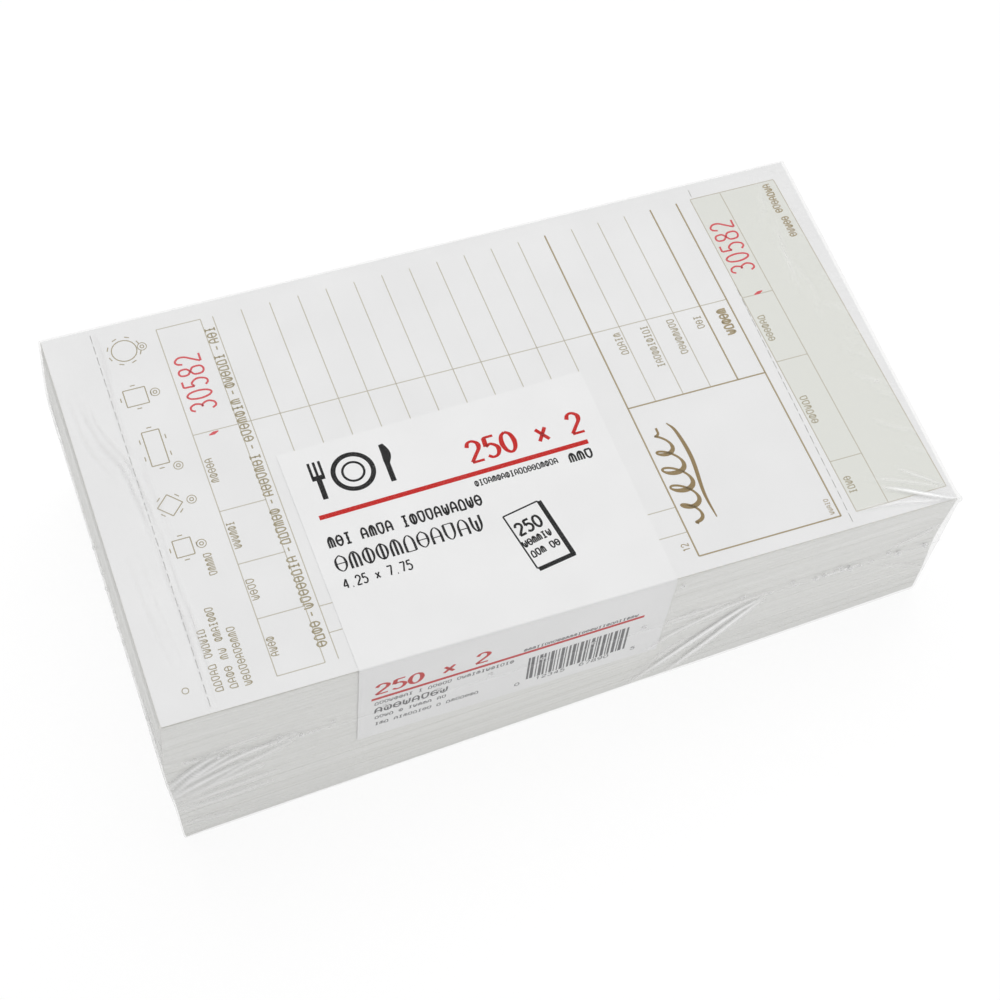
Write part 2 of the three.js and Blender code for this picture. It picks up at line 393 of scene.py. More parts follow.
def grid_quads(rows: int, columns: int, close_rows: bool = False, close_columns: bool = False) -> Array:
    """The quads of a grid of points that is stored row by row.

    Args:
        rows: how many rows of points.
        columns: how many points in a row.
        close_rows: the last row joins the first one.
        close_columns: the last point of a row joins its first one.

    Returns:
        Four point numbers for each quad.
    """
    r = np.arange(rows if close_rows else rows - 1)
    c = np.arange(columns if close_columns else columns - 1)
    low, left = np.meshgrid(r, c, indexing="ij")
    high, right = (low + 1) % rows, (left + 1) % columns
    corners = [low * columns + left, low * columns + right, high * columns + right, high * columns + left]
    return np.stack(corners, axis=-1).reshape(-1, 4)


def signed_volume(points: Array, quads: Array) -> float:
    """The volume inside a closed quad mesh, below 0 where its faces point inwards."""
    a, b, c, d = (points[quads[:, i]] for i in range(4))
    halves = np.cross(a, b) * c + np.cross(a, c) * d
    return float(halves.sum()) / 6


@dataclass
class Draft:
    """Collects closed bodies of quads into the mesh of one piece."""

    points: list[Array] = field(default_factory=list)
    quads: list[Array] = field(default_factory=list)
    tones: list[Array] = field(default_factory=list)
    count: int = 0

    def add(self, points: Array, quads: Array, tone: float = 0.0) -> None:
        """Adds one closed body, turned to face outwards.

        Args:
            points: its points.
            quads: its faces.
            tone: a number stored on its vertices.
        """
        points = points.reshape(-1, 3)
        centred = points - points.mean(axis=0)
        if signed_volume(centred, quads) < 0:
            quads = quads[:, ::-1]
        self.points.append(points)
        self.quads.append(quads + self.count)
        self.tones.append(np.full(len(points), tone))
        self.count += len(points)

    def add_bar(self, rings: Array, tone: float = 0.0) -> None:
        """Adds a bar from rings of four points each, closed at both ends."""
        rows = len(rings)
        last = 4 * (rows - 1)
        ends = np.array([[0, 1, 2, 3], [last + 3, last + 2, last + 1, last]])
        quads = np.vstack([grid_quads(rows, 4, close_columns=True), ends[:, ::-1]])
        self.add(rings, quads, tone)

    def add_loop(self, rings: Array, tone: float = 0.0) -> None:
        """Adds a body from rings that run round and close on themselves."""
        rows, size = rings.shape[:2]
        self.add(rings, grid_quads(rows, size, close_rows=True, close_columns=True), tone)

    def build(self, name: str, smooth: bool = False) -> bpy.types.Object:
        """Makes the object, with the tone as an attribute."""
        points = np.vstack(self.points)
        made = mesh_object(name, points, np.vstack(self.quads), smooth)
        store(made, "tone", np.concatenate(self.tones))
        return made


def mesh_object(name: str, points: Array, quads: Array, smooth: bool) -> bpy.types.Object:
    """Makes a mesh object in place from points and quads."""
    mesh = bpy.data.meshes.new(name)
    mesh.vertices.add(len(points))
    mesh.vertices.foreach_set("co", points.astype(np.float32).ravel())
    mesh.loops.add(quads.size)
    mesh.loops.foreach_set("vertex_index", quads.astype(np.int32).ravel())
    mesh.polygons.add(len(quads))
    mesh.polygons.foreach_set("loop_start", np.arange(0, quads.size, 4, dtype=np.int32))
    mesh.polygons.foreach_set("use_smooth", np.full(len(quads), smooth))
    mesh.update(calc_edges=True)
    mesh.validate()
    made = bpy.data.objects.new(name, mesh)
    bpy.context.scene.collection.objects.link(made)
    return made


def store(piece: bpy.types.Object, name: str, values: Array) -> None:
    """Stores a number for each vertex of a piece."""
    attribute = piece.data.attributes.new(name, "FLOAT", "POINT")
    attribute.data.foreach_set("value", values.astype(np.float32))


def smooth_path(points: Sequence[tuple[float, float]], steps: int = 6) -> Array:
    """A curve through the points: between two of them it follows a Catmull-Rom spline."""
    knots = np.array(points, float)
    padded = np.vstack([2 * knots[0] - knots[1], knots, 2 * knots[-1] - knots[-2]])
    t = np.linspace(0, 1, steps, endpoint=False)[:, None, None]
    a, b, c, d = (padded[i : len(padded) - 3 + i][None] for i in range(4))
    curve = 0.5 * (2 * b + (c - a) * t + (2 * a - 5 * b + 4 * c - d) * t**2 + (3 * b - a - 3 * c + d) * t**3)
    curve = curve.transpose(1, 0, 2).reshape(-1, knots.shape[1])
    return np.vstack([curve, knots[-1]])


def ribbon(path: Array, width: float | Array) -> tuple[Array, Array]:
    """The two sides of a flat stroke along a path: each point moved half the width square to it."""
    ahead = np.gradient(path, axis=0)
    ahead /= np.maximum(np.linalg.norm(ahead, axis=1, keepdims=True), 1e-12)
    aside = np.stack([-ahead[:, 1], ahead[:, 0]], axis=1) * (np.asarray(width) / 2).reshape(-1, 1)
    return path + aside, path - aside


@dataclass
class Print:
    """Flat printed strokes on a surface, each a thin closed bar."""

    surface: Surface
    lift: float
    thickness: float = 0.008 * MM
    draft: Draft = field(default_factory=Draft)

    def stroke(self, path: Sequence[tuple[float, float]], width: float | Array) -> None:
        """Adds a stroke.

        Args:
            path: its points in millimetres on the surface.
            width: its width in millimetres, one number or one for each point.
        """
        left, right = ribbon(np.array(path, float), width)
        low, high = self.lift, self.lift + self.thickness
        sides = [(left, low), (right, low), (right, high), (left, high)]
        rings = np.stack([self.surface(side, np.full(len(side), lift)) for side, lift in sides], axis=1)
        self.draft.add_bar(rings)

    def piece(self, name: str, ink: Ink, slot: str) -> bpy.types.Object:
        """Makes the piece in one ink and sets it on the pack."""
        made = self.draft.build(name)
        return dress(made, ink.value.material())


def dress(piece: bpy.types.Object, material: bpy.types.Material) -> bpy.types.Object:
    """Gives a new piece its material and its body."""
    piece.data.materials.clear()
    piece.data.materials.append(material)
    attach(piece, "root")
    return piece


# The pile


@dataclass(frozen=True)
class Pile:
    """The leaning wedge that every piece follows.

    Attributes:
        length: the length of a sheet.
        width: the width of a sheet.
        base: the height of the lowest sheet over the ground.
        stub_height: the height of the pile at the stubs.
        free_height: its height at the receipts.
        lean_free: how far the top lies towards the receipts.
        lean_front: how far the top lies towards the front.
        bulge: how far the stub ends swell.
        bulge_share: the share of the height at which they swell most.
        bulge_spread: the share of the height over which the swelling falls off.
        print_across: the scale, the turn and the shift in millimetres of the print across the sheet.
        print_at_back: the scale and the shift in millimetres of the print along the back edge.
        print_at_front: the same along the front edge.
    """

    length: float = 196.85 * MM
    width: float = 107.95 * MM
    base: float = 0.1 * MM
    stub_height: float = 71 * MM
    free_height: float = 51 * MM
    lean_free: float = 4.2 * MM
    lean_front: float = 3.3 * MM
    bulge: float = 1.4 * MM
    bulge_share: float = 0.62
    bulge_spread: float = 0.3
    print_across: tuple[float, float, float] = (0.9955, 0.0024, 0.17)
    print_at_back: tuple[float, float] = (1.0035, 0.51)
    print_at_front: tuple[float, float] = (1.0209, 0.61)

    @property
    def middle_height(self) -> float:
        """The height half way along."""
        return (self.stub_height + self.free_height) / 2

    def tilt(self, share: Array | float) -> Array:
        """The slope of the sheet that lies at a share of the height."""
        return np.arcsin(np.asarray(share) * (self.stub_height - self.free_height) / self.length)

    def bulge_at(self, share: Array | float) -> Array:
        """How far the stub ends swell: a bell round a share of the height."""
        away = (np.asarray(share) - self.bulge_share) / self.bulge_spread
        return self.bulge * np.exp(-away * away)

    def point(self, share: Array, along: Array, across: Array, up: Array | float = 0.0) -> Array:
        """A point of the wedge.

        Args:
            share: the share of the height, 0 at the bottom and 1 at the top.
            along: the way along the sheet from its middle.
            across: the way across it, towards the back.
            up: the way square to the sheet.

        Returns:
            The points. The sheet is turned by its tilt about its middle, which rises with the share
            and leans towards the free end and the front, less the swelling of the stub ends.
        """
        tilt = self.tilt(share)
        x = self.lean_free * share - self.bulge_at(share) + along * np.cos(tilt) + up * np.sin(tilt)
        y = across - self.lean_front * share
        z = self.base + share * self.middle_height - along * np.sin(tilt) + up * np.cos(tilt)
        return np.stack(np.broadcast_arrays(x, y, z), axis=-1)

    def height_at(self, along: Array) -> Array:
        """The height of the pile at a place along it."""
        fall = (self.free_height - self.stub_height) / self.length
        return self.stub_height + fall * (along + self.length / 2)

    def on_top(self, uv: Array, up: Array) -> Array:
        """A place (u, v) of the top sheet, in millimetres, raised by up in metres."""
        along = uv[:, 0] * MM - self.length / 2
        across = uv[:, 1] * MM - self.width / 2
        return self.point(np.ones(len(uv)), along, across, up)

    def on_form(self, pq: Array, up: Array) -> Array:
        """A place of the printed form, which is a little out of square with the sheet.

        The print is shifted along the sheet by a straight rule at the front edge and by another at
        the back edge, with an even change between them.
        """
        scale, turn, shift = self.print_across
        p, v = pq[:, 0], pq[:, 1] * scale - pq[:, 0] * turn + shift
        edges = (self.print_at_back, self.print_at_front)
        at_back, at_front = (p * stretch + start for stretch, start in edges)
        share = v * MM / self.width
        return self.on_top(np.stack([at_front + (at_back - at_front) * share, v], axis=1), up)


@dataclass(frozen=True)
class Slip:
    """The label slip: where it lies on the top sheet and how it folds down over the front."""

    pile: Pile
    from_stub: float = 45.6 * MM
    width: float = 77.9 * MM
    flap: float = 41 * MM
    bend: float = 0.4 * MM
    turn: float = 0.018
    gap: float = 0.06 * MM
    thickness: float = 0.14 * MM
    stand_off: float = (0.07 + 0.0003 * 98.425 + 0.08) * MM

    def corners(self) -> Array:
        """The corners of the flap's face as (along, up, across), from its low left round to its fold."""
        pile, skew = self.pile, math.tan(self.turn)
        left = self.from_stub - pile.length / 2
        arc = self.bend * math.pi / 2
        low_left, low_right = -self.flap, -self.flap + self.width * skew
        sides = [(left, low_left), (left + self.width, low_right), (left + self.width, -arc), (left, -arc)]
        front = -pile.width / 2 - self.gap - self.stand_off - self.thickness
        corners = []
        for side, distance in sides:
            along = side - distance * skew
            up = self.gap - self.bend + distance + arc
            leans = pile.lean_front * up / float(pile.height_at(along)) if distance < -arc else 0.0
            corners.append((along, up, front - leans))
        return np.array(corners)

    def on_top(self, uv: Array, lift: Array) -> Array:
        """A place (u, v) of the part that lies on the top sheet, in millimetres."""
        return self.pile.on_top(uv, self.gap + self.thickness + lift)

    def on_flap(self, uz: Array, lift: Array) -> Array:
        """A place of the flap, given as (u, z) of the leaning front face, in millimetres.

        The flap is two flat triangles that meet along the line from its low left corner to its upper
        right one. The place is carried to the plane of the triangle that it lies in.
        """
        pile = self.pile
        u, z = uz[:, 0] * MM, uz[:, 1] * MM
        share = z / pile.height_at(u - pile.length / 2)
        tilt = pile.tilt(1.0)
        from_x = u - pile.length / 2 + pile.lean_free * (share - 1) + pile.bulge_at(1.0)
        from_z = z - pile.base - pile.middle_height
        along = from_x * np.cos(tilt) - from_z * np.sin(tilt)
        up = from_x * np.sin(tilt) + from_z * np.cos(tilt)
        corners = self.corners()
        line = corners[2] - corners[0]
        above = line[0] * (up - corners[0, 1]) - line[1] * (along - corners[0, 0]) > 0
        planes = []
        for triangle in ([0, 1, 2], [0, 2, 3]):
            flat = np.hstack([corners[triangle][:, :2], np.ones((3, 1))])
            planes.append(np.linalg.solve(flat, corners[triangle][:, 2]))
        plane = np.where(above, planes[1][:, None], planes[0][:, None])
        across = plane[0] * along + plane[1] * up + plane[2] - lift
        return pile.point(np.ones(len(uz)), along, across, up)


# The sheets


@dataclass
class CheckPile:
    """The checks: the bundles and the first check of the frame, and the edge of each check.

    Attributes:
        pile: the wedge that they follow.
        checks: how many checks lie below the first one.
        first_share: the share of the height at which they begin.
        bundles: how many solids of the frame hold them.
        jog_length: how far a bundle lies off the pile along the sheet.
        jog_width: how far it lies off across the sheet.
        jog_turn: how far it is turned, in radians.
        evening: how much of the steps between the bundles the edges take away.
        edge_stand: the least and the most by which an edge stands out, in millimetres.
        edge_wave: how far its stand changes along the sheet.
        edge_depth: how far an edge reaches into the pile.
        edge_share: the share of a check's thickness that its edge fills.
        step_along: how many points a long side has.
        step_across: how many points a short side has.
        groups: the parts of the pile, one piece each.
        seed: starts the random numbers.
    """

    pile: Pile
    frame: dict
    checks: int = 249
    first_share: float = 1 - 0.26 / 51
    bundles: int = 50
    jog_length: float = 0.1 * MM
    jog_width: float = 0.07 * MM
    jog_turn: float = 0.0003
    evening: float = 0.65
    edge_stand: tuple[float, float] = (0.01, 0.035)
    edge_wave: float = 0.004 * MM
    edge_depth: float = 0.6 * MM
    edge_share: float = 0.97
    step_along: int = 34
    step_across: int = 18
    groups: Sequence[str] = ("top", "upper", "middle", "lower", "bottom")
    seed: int = 4

    def build(self) -> list[bpy.types.Object]:
        """Dresses the frame's sheets and draws the edges."""
        edge = EdgeFinish("check_edges", linear(248, 248, 246), linear(232, 232, 228)).material()
        sheet = PaperFinish("check_paper", linear(242, 242, 242), linear(238, 238, 238)).material()
        second = PaperFinish("second_copy_paper", linear(240, 238, 226), linear(232, 229, 214)).material()
        glue = GlueFinish("stub_glue", linear(226, 230, 228), linear(205, 211, 210)).material()
        named = {
            "first_check_top_copy": sheet,
            "first_check_second_copy": second,
            "first_check_glue_line": glue,
        }
        for name, node in self.frame["nodes"].items():
            if name.startswith("checks_"):
                self.assign(node, edge)
            elif name in named:
                self.assign(node, named[name])
        return [self.edge_group(index, edge) for index in range(len(self.groups))]

    @staticmethod
    def assign(node: bpy.types.Object, material: bpy.types.Material) -> None:
        """Gives a node of the frame its material."""
        node.data.materials.clear()
        node.data.materials.append(material)

    def sides(self) -> tuple[Array, Array]:
        """Points sampled evenly along the four sides of a sheet.

        Returns:
            The points as (along, across) shares of half the sheet, and the direction outwards at each.
        """
        long_side = np.linspace(-1, 1, self.step_along, endpoint=False)
        short_side = np.linspace(-1, 1, self.step_across, endpoint=False)
        front = np.stack([long_side, np.full_like(long_side, -1)], axis=1)
        free_end = np.stack([np.full_like(short_side, 1), short_side], axis=1)
        unit = np.vstack([front, free_end, -front, -free_end])
        return unit, np.where(np.abs(unit) > 0.9999, unit, 0.0)

    def edge_ring(self, check: int, random: np.random.Generator) -> Array:
        """The edge of one check: a thin frame that stands out a little from its bundle.

        It stands out more where its bundle lies further in than the others, so that the steps
        between the bundles are mostly evened out.
        """
        bundle = int(check * self.bundles / self.checks)
        jog_along = self.jog_length * math.sin(bundle * 2.4) * math.cos(bundle * 0.7)
        jog_across = self.jog_width * math.sin(bundle * 1.7 + 1.1)
        turn = self.jog_turn * math.sin(bundle * 3.1 + 0.4)
        unit, outwards = self.sides()
        angle = np.linspace(0, 2 * np.pi, len(unit), endpoint=False)
        wave = np.sin(angle * 7 + random.uniform(0, 6)) + np.sin(angle * 16 + random.uniform(0, 6))
        set_back = np.abs(outwards) @ (self.jog_length, self.jog_width) - outwards @ (jog_along, jog_across)
        stand = random.uniform(*self.edge_stand) * MM + self.edge_wave * wave + self.evening * set_back
        rings = []
        top = self.first_share * (1 - check / self.checks)
        bottom = self.first_share * (1 - (check + self.edge_share) / self.checks)
        inside = np.full(len(unit), -self.edge_depth)
        for grow, share in ((inside, bottom), (stand, bottom), (stand, top), (inside, top)):
            flat = unit * (self.pile.length / 2, self.pile.width / 2) + outwards * grow[:, None]
            x = flat[:, 0] * math.cos(turn) - flat[:, 1] * math.sin(turn) + jog_along
            y = flat[:, 0] * math.sin(turn) + flat[:, 1] * math.cos(turn) + jog_across
            rings.append(self.pile.point(np.full(len(unit), share), x, y))
        return np.stack(rings, axis=1)

    def edge_group(self, index: int, material: bpy.types.Material) -> bpy.types.Object:
        """The edges of one part of the pile as one piece."""
        random = np.random.default_rng(self.seed + index)
        share = self.checks / len(self.groups)
        draft = Draft()
        for check in range(round(index * share), round((index + 1) * share)):
            draft.add_loop(self.edge_ring(check, random), random.uniform(0.2, 0.8))
        return dress(draft.build(f"check_edges_{self.groups[index]}"), material)


# Marks


@dataclass(frozen=True)
class Stroke:
    """One stroke of a glyph in its unit box, with x along the row and y upwards."""

    points: tuple[tuple[float, float], ...]
    smooth: bool


def curved(*points: tuple[float, float]) -> Stroke:
    """A smooth stroke through the points."""
    return Stroke(points, True)


def ruled(*points: tuple[float, float]) -> Stroke:
    """A stroke of straight runs between the points."""
    return Stroke(points, False)


UPPER_BOWL = ((0.5, 0.54), (0.12, 0.68), (0.15, 0.92), (0.5, 1), (0.85, 0.92), (0.88, 0.68))
LOWER_BOWL = ((0.5, 0.54), (0.05, 0.4), (0.06, 0.1), (0.5, 0), (0.94, 0.1), (0.95, 0.4), (0.5, 0.54))
DIGITS: dict[str, list[Stroke]] = {
    "0": [
        curved(
            (0.5, 1), (0.15, 0.85), (0, 0.5), (0.15, 0.15), (0.5, 0),
            (0.85, 0.15), (1, 0.5), (0.85, 0.85), (0.5, 1),
        )
    ],
    "1": [ruled((0.15, 0.78), (0.55, 1), (0.55, 0))],
    "2": [
        curved((0.02, 0.75), (0.2, 0.95), (0.55, 1), (0.92, 0.85), (0.9, 0.6), (0.45, 0.3), (0.02, 0.02)),
        ruled((0.02, 0), (1, 0)),
    ],
    "3": [
        curved((0.05, 0.85), (0.3, 0.99), (0.7, 0.97), (0.92, 0.78), (0.75, 0.56), (0.45, 0.52)),
        curved((0.45, 0.52), (0.8, 0.48), (1, 0.26), (0.75, 0.04), (0.3, 0), (0.02, 0.16)),
    ],
    "4": [ruled((0.78, 0), (0.78, 1), (0, 0.28), (1, 0.28))],
    "5": [
        ruled((0.92, 1), (0.16, 1), (0.1, 0.56)),
        curved((0.1, 0.56), (0.5, 0.64), (0.9, 0.48), (0.98, 0.28), (0.75, 0.05), (0.35, 0), (0.02, 0.12)),
    ],
    "6": [
        curved(
            (0.85, 0.92), (0.5, 1), (0.15, 0.8), (0, 0.4), (0.15, 0.08), (0.5, 0),
            (0.88, 0.1), (0.98, 0.32), (0.8, 0.55), (0.4, 0.58), (0.06, 0.4),
        )
    ],
    "7": [ruled((0, 1), (1, 1), (0.4, 0))],
    "8": [curved(*UPPER_BOWL, *LOWER_BOWL)],
    "9": [
        curved(
            (0.15, 0.08), (0.5, 0), (0.85, 0.2), (1, 0.6), (0.85, 0.92), (0.5, 1),
            (0.12, 0.9), (0.02, 0.68), (0.2, 0.45), (0.6, 0.42), (0.94, 0.6),
        )
    ],
    ".": [ruled((0.4, 0.0), (0.6, 0.0))],
    "x": [ruled((0.1, 0.1), (0.9, 0.7)), ruled((0.1, 0.7), (0.9, 0.1))],
}

ARCH = curved((0.04, 0.0), (0.08, 0.7), (0.5, 1.0), (0.92, 0.7), (0.96, 0.0))
CUP = curved((0.04, 1.0), (0.08, 0.3), (0.5, 0.0), (0.92, 0.3), (0.96, 1.0))
RING = curved(
    (0.5, 1.0), (0.1, 0.8), (0.0, 0.5), (0.1, 0.2), (0.5, 0.0),
    (0.9, 0.2), (1.0, 0.5), (0.9, 0.8), (0.5, 1.0),
)
STEM = ruled((0.5, 0.0), (0.5, 1.0))
SERIFS = [ruled((0.1, 0.0), (0.9, 0.0)), ruled((0.1, 1.0), (0.9, 1.0)), ruled((0.25, 0.5), (0.75, 0.5))]
MARKS: list[list[Stroke]] = [
    [ARCH, ruled((0.08, 0.4), (0.92, 0.4))],
    [CUP, ruled((0.5, 0.0), (0.5, 0.7))],
    [RING, STEM],
    [STEM, *SERIFS],
    [ARCH, ruled((0.5, 0.0), (0.5, 0.95))],
    [CUP, ruled((0.04, 1.0), (0.96, 1.0))],
    [ARCH, ruled((0.0, 0.0), (1.0, 0.0))],
    [RING, ruled((0.0, 0.5), (1.0, 0.5))],
]


@dataclass(frozen=True)
class Lettering:
    """Strokes for a row of digits or letter-like marks.

    Attributes:
        start: the left end of the baseline, in millimetres on the surface.
        reading: the direction in which the row runs, as a unit vector.
        height: the height of a digit.
        pitch: the step from one digit to the next.
        width: the width of a digit.
        weight: the width of a stroke.
        contrast: how much thinner a stroke is where it runs along the row, from 0 to 1.
    """

    start: tuple[float, float]
    reading: tuple[float, float]
    height: float
    pitch: float
    width: float
    weight: float
    contrast: float = 0.0

    def place(self, path: Array, index: int) -> Array:
        """Turns a path in the unit box of one digit into a path on the surface."""
        ahead = np.array(self.reading)
        upwards = np.array([-ahead[1], ahead[0]])
        offset = index * self.pitch + path[:, :1] * self.width
        return np.array(self.start) + offset * ahead + path[:, 1:] * self.height * upwards

    def draw(self, ink: Print, glyphs: Sequence[list[Stroke] | None]) -> None:
        """Draws the strokes of each glyph in turn, and leaves a gap for None."""
        for index, glyph in enumerate(glyphs):
            for part in glyph or []:
                path = smooth_path(part.points, 5) if part.smooth else smooth_corners(part.points)
                ahead = np.abs(np.gradient(path * (self.width, self.height), axis=0))
                level = ahead[:, 0] / np.maximum(np.hypot(ahead[:, 0], ahead[:, 1]), 1e-9)
                ink.stroke(self.place(path, index), self.weight * (1 - self.contrast * level))

    def number(self, ink: Print, digits: str) -> None:
        """Draws a plain number."""
        self.draw(ink, [DIGITS.get(digit) for digit in digits])

    def marks(self, ink: Print, words: Sequence[int], random: np.random.Generator) -> None:
        """Draws letter-like marks that spell nothing, one run for each length in words."""
        glyphs: list[list[Stroke] | None] = []
        for length in words:
            glyphs += [MARKS[random.integers(len(MARKS))] for _ in range(length)]
            glyphs.append(None)
        self.draw(ink, glyphs)


def smooth_corners(points: Sequence[tuple[float, float]]) -> Array:
    """A path of straight runs, with a second point close to each corner so that its width holds."""
    knots = np.array(points, float)
    if len(knots) == 2:
        return knots
    before = knots[1:-1] + (knots[:-2] - knots[1:-1]) * 0.06
    after = knots[1:-1] + (knots[2:] - knots[1:-1]) * 0.06
    middle = np.stack([before, after], axis=1).reshape(-1, 2)
    return np.vstack([knots[0], middle, knots[-1]])


def circle(centre: tuple[float, float], radius: float, steps: int = 28) -> Array:
    """The points of a circle, with the first one repeated at the end."""
    angle = np.linspace(0, 2 * np.pi, steps + 1)
    return np.array(centre) + radius * np.stack([np.cos(angle), np.sin(angle)], axis=1)


# The printed form

TO_THE_BACK = (0.0, 1.0)


@dataclass
class CheckForm:
    """The print of the top check, in millimetres: lines in the form's frame, marks in the sheet's.

    Attributes:
        pile: the wedge that it lies on.
        lift: how far the print stands over the paper.
        thin: the width of a thin line.
        heavy: the width of a heavy line.
        top: the place of the lines' back edge.
        foot: the place of their front edge.
        box_left: the left side of the serial number's box.
        box_right: its right side.
        column: the line at which the rows begin.
        first_row: the first ruled line of the rows.
        row_step: the step from one row to the next.
        receipt: the three lines of the receipt.
        table_weight: the width of a stroke of the seating diagrams.
        chair_tick: half the length of a chair's tick.
        serial: the plain serial number.
        seed: starts the random numbers.
    """

    pile: Pile
    lift: float = 0.003 * MM
    thin: float = 0.25
    heavy: float = 0.4
    top: float = 103.77
    foot: float = 4.2
    box_left: float = 26.7
    box_right: float = 37.72
    column: float = 40.82
    first_row: float = 48.0
    row_step: float = 7.23
    receipt: tuple[float, float, float] = (167.7, 176.0, 191.25)
    table_weight: float = 0.26
    chair_tick: float = 0.6
    serial: str = "30582"
    seed: int = 12

    def build(self) -> list[bpy.types.Object]:
        """Prints the form."""
        random = np.random.default_rng(self.seed)
        return [
            self.tint(),
            self.lines(),
            self.heavy_lines(),
            self.field_marks(random),
            self.bold_marks(random),
            self.numbers(),
            self.seats(),
            self.flourish(),
        ]

    def ruled(self, raise_by: float = 0.0) -> Print:
        """An empty print in the form's frame."""
        return Print(self.pile.on_form, self.lift + raise_by)

    def written(self) -> Print:
        """An empty print in the sheet's frame, over the lines."""
        return Print(self.pile.on_top, self.lift + 0.003 * MM)

    def row(self, index: int) -> float:
        """The place of a ruled line."""
        return self.first_row + self.row_step * index

    def tint(self) -> bpy.types.Object:
        """The grey tint of the receipt."""
        ink = self.ruled(-0.002 * MM)
        left, _, right = self.receipt
        middle = (self.foot + self.top) / 2
        ink.stroke([(left, middle), (right, middle)], self.top - self.foot)
        return ink.piece("receipt_tint", Ink.TINT, "check_paper")

    def lines(self) -> bpy.types.Object:
        """The thin ruled lines."""
        ink = self.ruled()
        left, right, column, top, foot = self.box_left, self.box_right, self.column, self.top, self.foot
        near, middle, far = self.receipt
        runs = [((left, across), (right, across)) for across in (top, 49.39, 34.52, 19.49, foot)]
        runs += [((along, foot), (along, top)) for along in (left, right, column, near, middle, far)]
        runs += [((self.row(i), foot), (self.row(i), top)) for i in range(11)]
        runs += [((self.row(i), 48.0), (self.row(i), top)) for i in range(12, 15)]
        runs += [((left, 71.6), (self.row(16), 71.6))]
        runs += [((column, across), (self.row(11), across)) for across in (18.4, 11.2)]
        runs += [((near, across), (far, across)) for across in (top + 0.2, foot)]
        runs += [((near, across), (middle, across)) for across in (70.8, 50.1, 19.05)]
        for run in runs:
            ink.stroke(run, self.thin)
        return ink.piece("form_thin_lines", Ink.LINE, "check_paper")

    def heavy_lines(self) -> bpy.types.Object:
        """The heavier brown lines round the totals and the box below them."""
        ink = self.ruled(0.002 * MM)
        total, after = self.row(11), self.row(16)
        runs = [
            ((total, self.foot), (total, self.top)),
            ((self.row(15), 48.0), (self.row(15), self.top)),
            ((after, self.foot), (after, self.top)),
            ((total, 48.0), (after, 48.0)),
            ((total, self.foot), (after, self.foot)),
        ]
        for run in runs:
            ink.stroke(run, self.heavy)
        return ink.piece("form_heavy_lines", Ink.BROWN, "check_paper")

    @staticmethod
    def word(
        ink: Print, run: tuple[float, float, float], cap: float, weight: float, random: np.random.Generator
    ) -> None:
        """A word of letter-like marks that runs from the front to the back.

        Args:
            ink: the print that takes it.
            run: its baseline u, and the v of its start and end.
            cap: the height of its marks.
            weight: the width of their strokes.
            random: picks the marks.
        """
        baseline, start, end = run
        letters = max(2, round((end - start) / (cap * 0.78)))
        pitch = (end - start) / letters
        row = Lettering((baseline, start), TO_THE_BACK, cap, pitch, pitch * 0.7, weight)
        row.marks(ink, [letters], random)

    def field_marks(self, random: np.random.Generator) -> bpy.types.Object:
        """The small marks that head the fields, and the row of words along the first column."""
        ink = self.written()
        stub_fields = [(29.9, 57.3, 64.4), (29.9, 38.6, 46.2), (29.9, 24.4, 30.4), (29.9, 9.3, 14.6)]
        totals = [(136.0, 62.9, 69.8), (143.3, 56.8, 69.8), (150.4, 58.8, 69.8), (157.3, 64.7, 68.8)]
        receipt_fields = [(172.9, 56.0, 64.2), (173.4, 30.2, 38.7), (174.2, 9.0, 14.0)]
        stub_note = [(15.6, 4.6, 11.8), (15.6, 13.4, 21.0), (18.9, 4.4, 10.4), (18.9, 12.0, 15.2)]
        stub_note += [(18.9, 16.8, 26.0), (22.2, 4.2, 19.8), (22.6, 33.6, 39.8)]
        for run in stub_fields + totals + receipt_fields + stub_note:
            self.word(ink, run, 1.75, 0.24, random)
        column = [(8.4, 15.4), (18.6, 33.2), (36.4, 46.6), (50.0, 62.4)]
        column += [(66.0, 78.8), (82.0, 92.4), (95.6, 100.8)]
        for start, end in column:
            self.word(ink, (40.9, start, end), 2.3, 0.36, random)
        for across in (17.0, 34.8, 48.3, 64.2, 80.4, 94.0):
            ink.stroke([(39.9, across - 0.5), (39.9, across + 0.5)], 0.36)
        return ink.piece("form_field_marks", Ink.WORD, "check_paper")

    def bold_marks(self, random: np.random.Generator) -> bpy.types.Object:
        """The bolder marks of the last total and of the receipt's head, and the row numbers."""
        ink = self.written()
        self.word(ink, (164.2, 60.8, 69.1), 2.3, 0.48, random)
        self.word(ink, (191.4, 84.6, 91.4), 1.9, 0.34, random)
        self.word(ink, (190.9, 92.8, 102.6), 1.9, 0.34, random)
        self.word(ink, (166.4, 5.0, 9.6), 1.1, 0.16, random)
        rows = self.ruled(0.003 * MM)
        rows.draft = ink.draft
        for index in range(12):
            start = (self.row(index) - 1.2, 6.4)
            Lettering(start, TO_THE_BACK, 1.7, 1.15, 0.8, 0.24).number(rows, str(index + 1))
        return ink.piece("form_bold_marks", Ink.BROWN, "check_paper")

    def numbers(self) -> bpy.types.Object:
        """The red serial number on the check and on its receipt, with a tick below each."""
        ink = self.written()
        for along, across in ((35.2, 77.6), (176.6, 77.8)):
            Lettering((along, across), TO_THE_BACK, 6.1, 3.5, 2.3, 0.52).number(ink, self.serial)
        for along in (32.4, 174.4):
            tick = [(along - 1.2, 70.3), (along, 70.6), (along + 1.2, 70.9)]
            ink.stroke(tick, np.array([0.3, 0.9, 0.3]))
        return ink.piece("serial_numbers", Ink.RED, "check_paper")

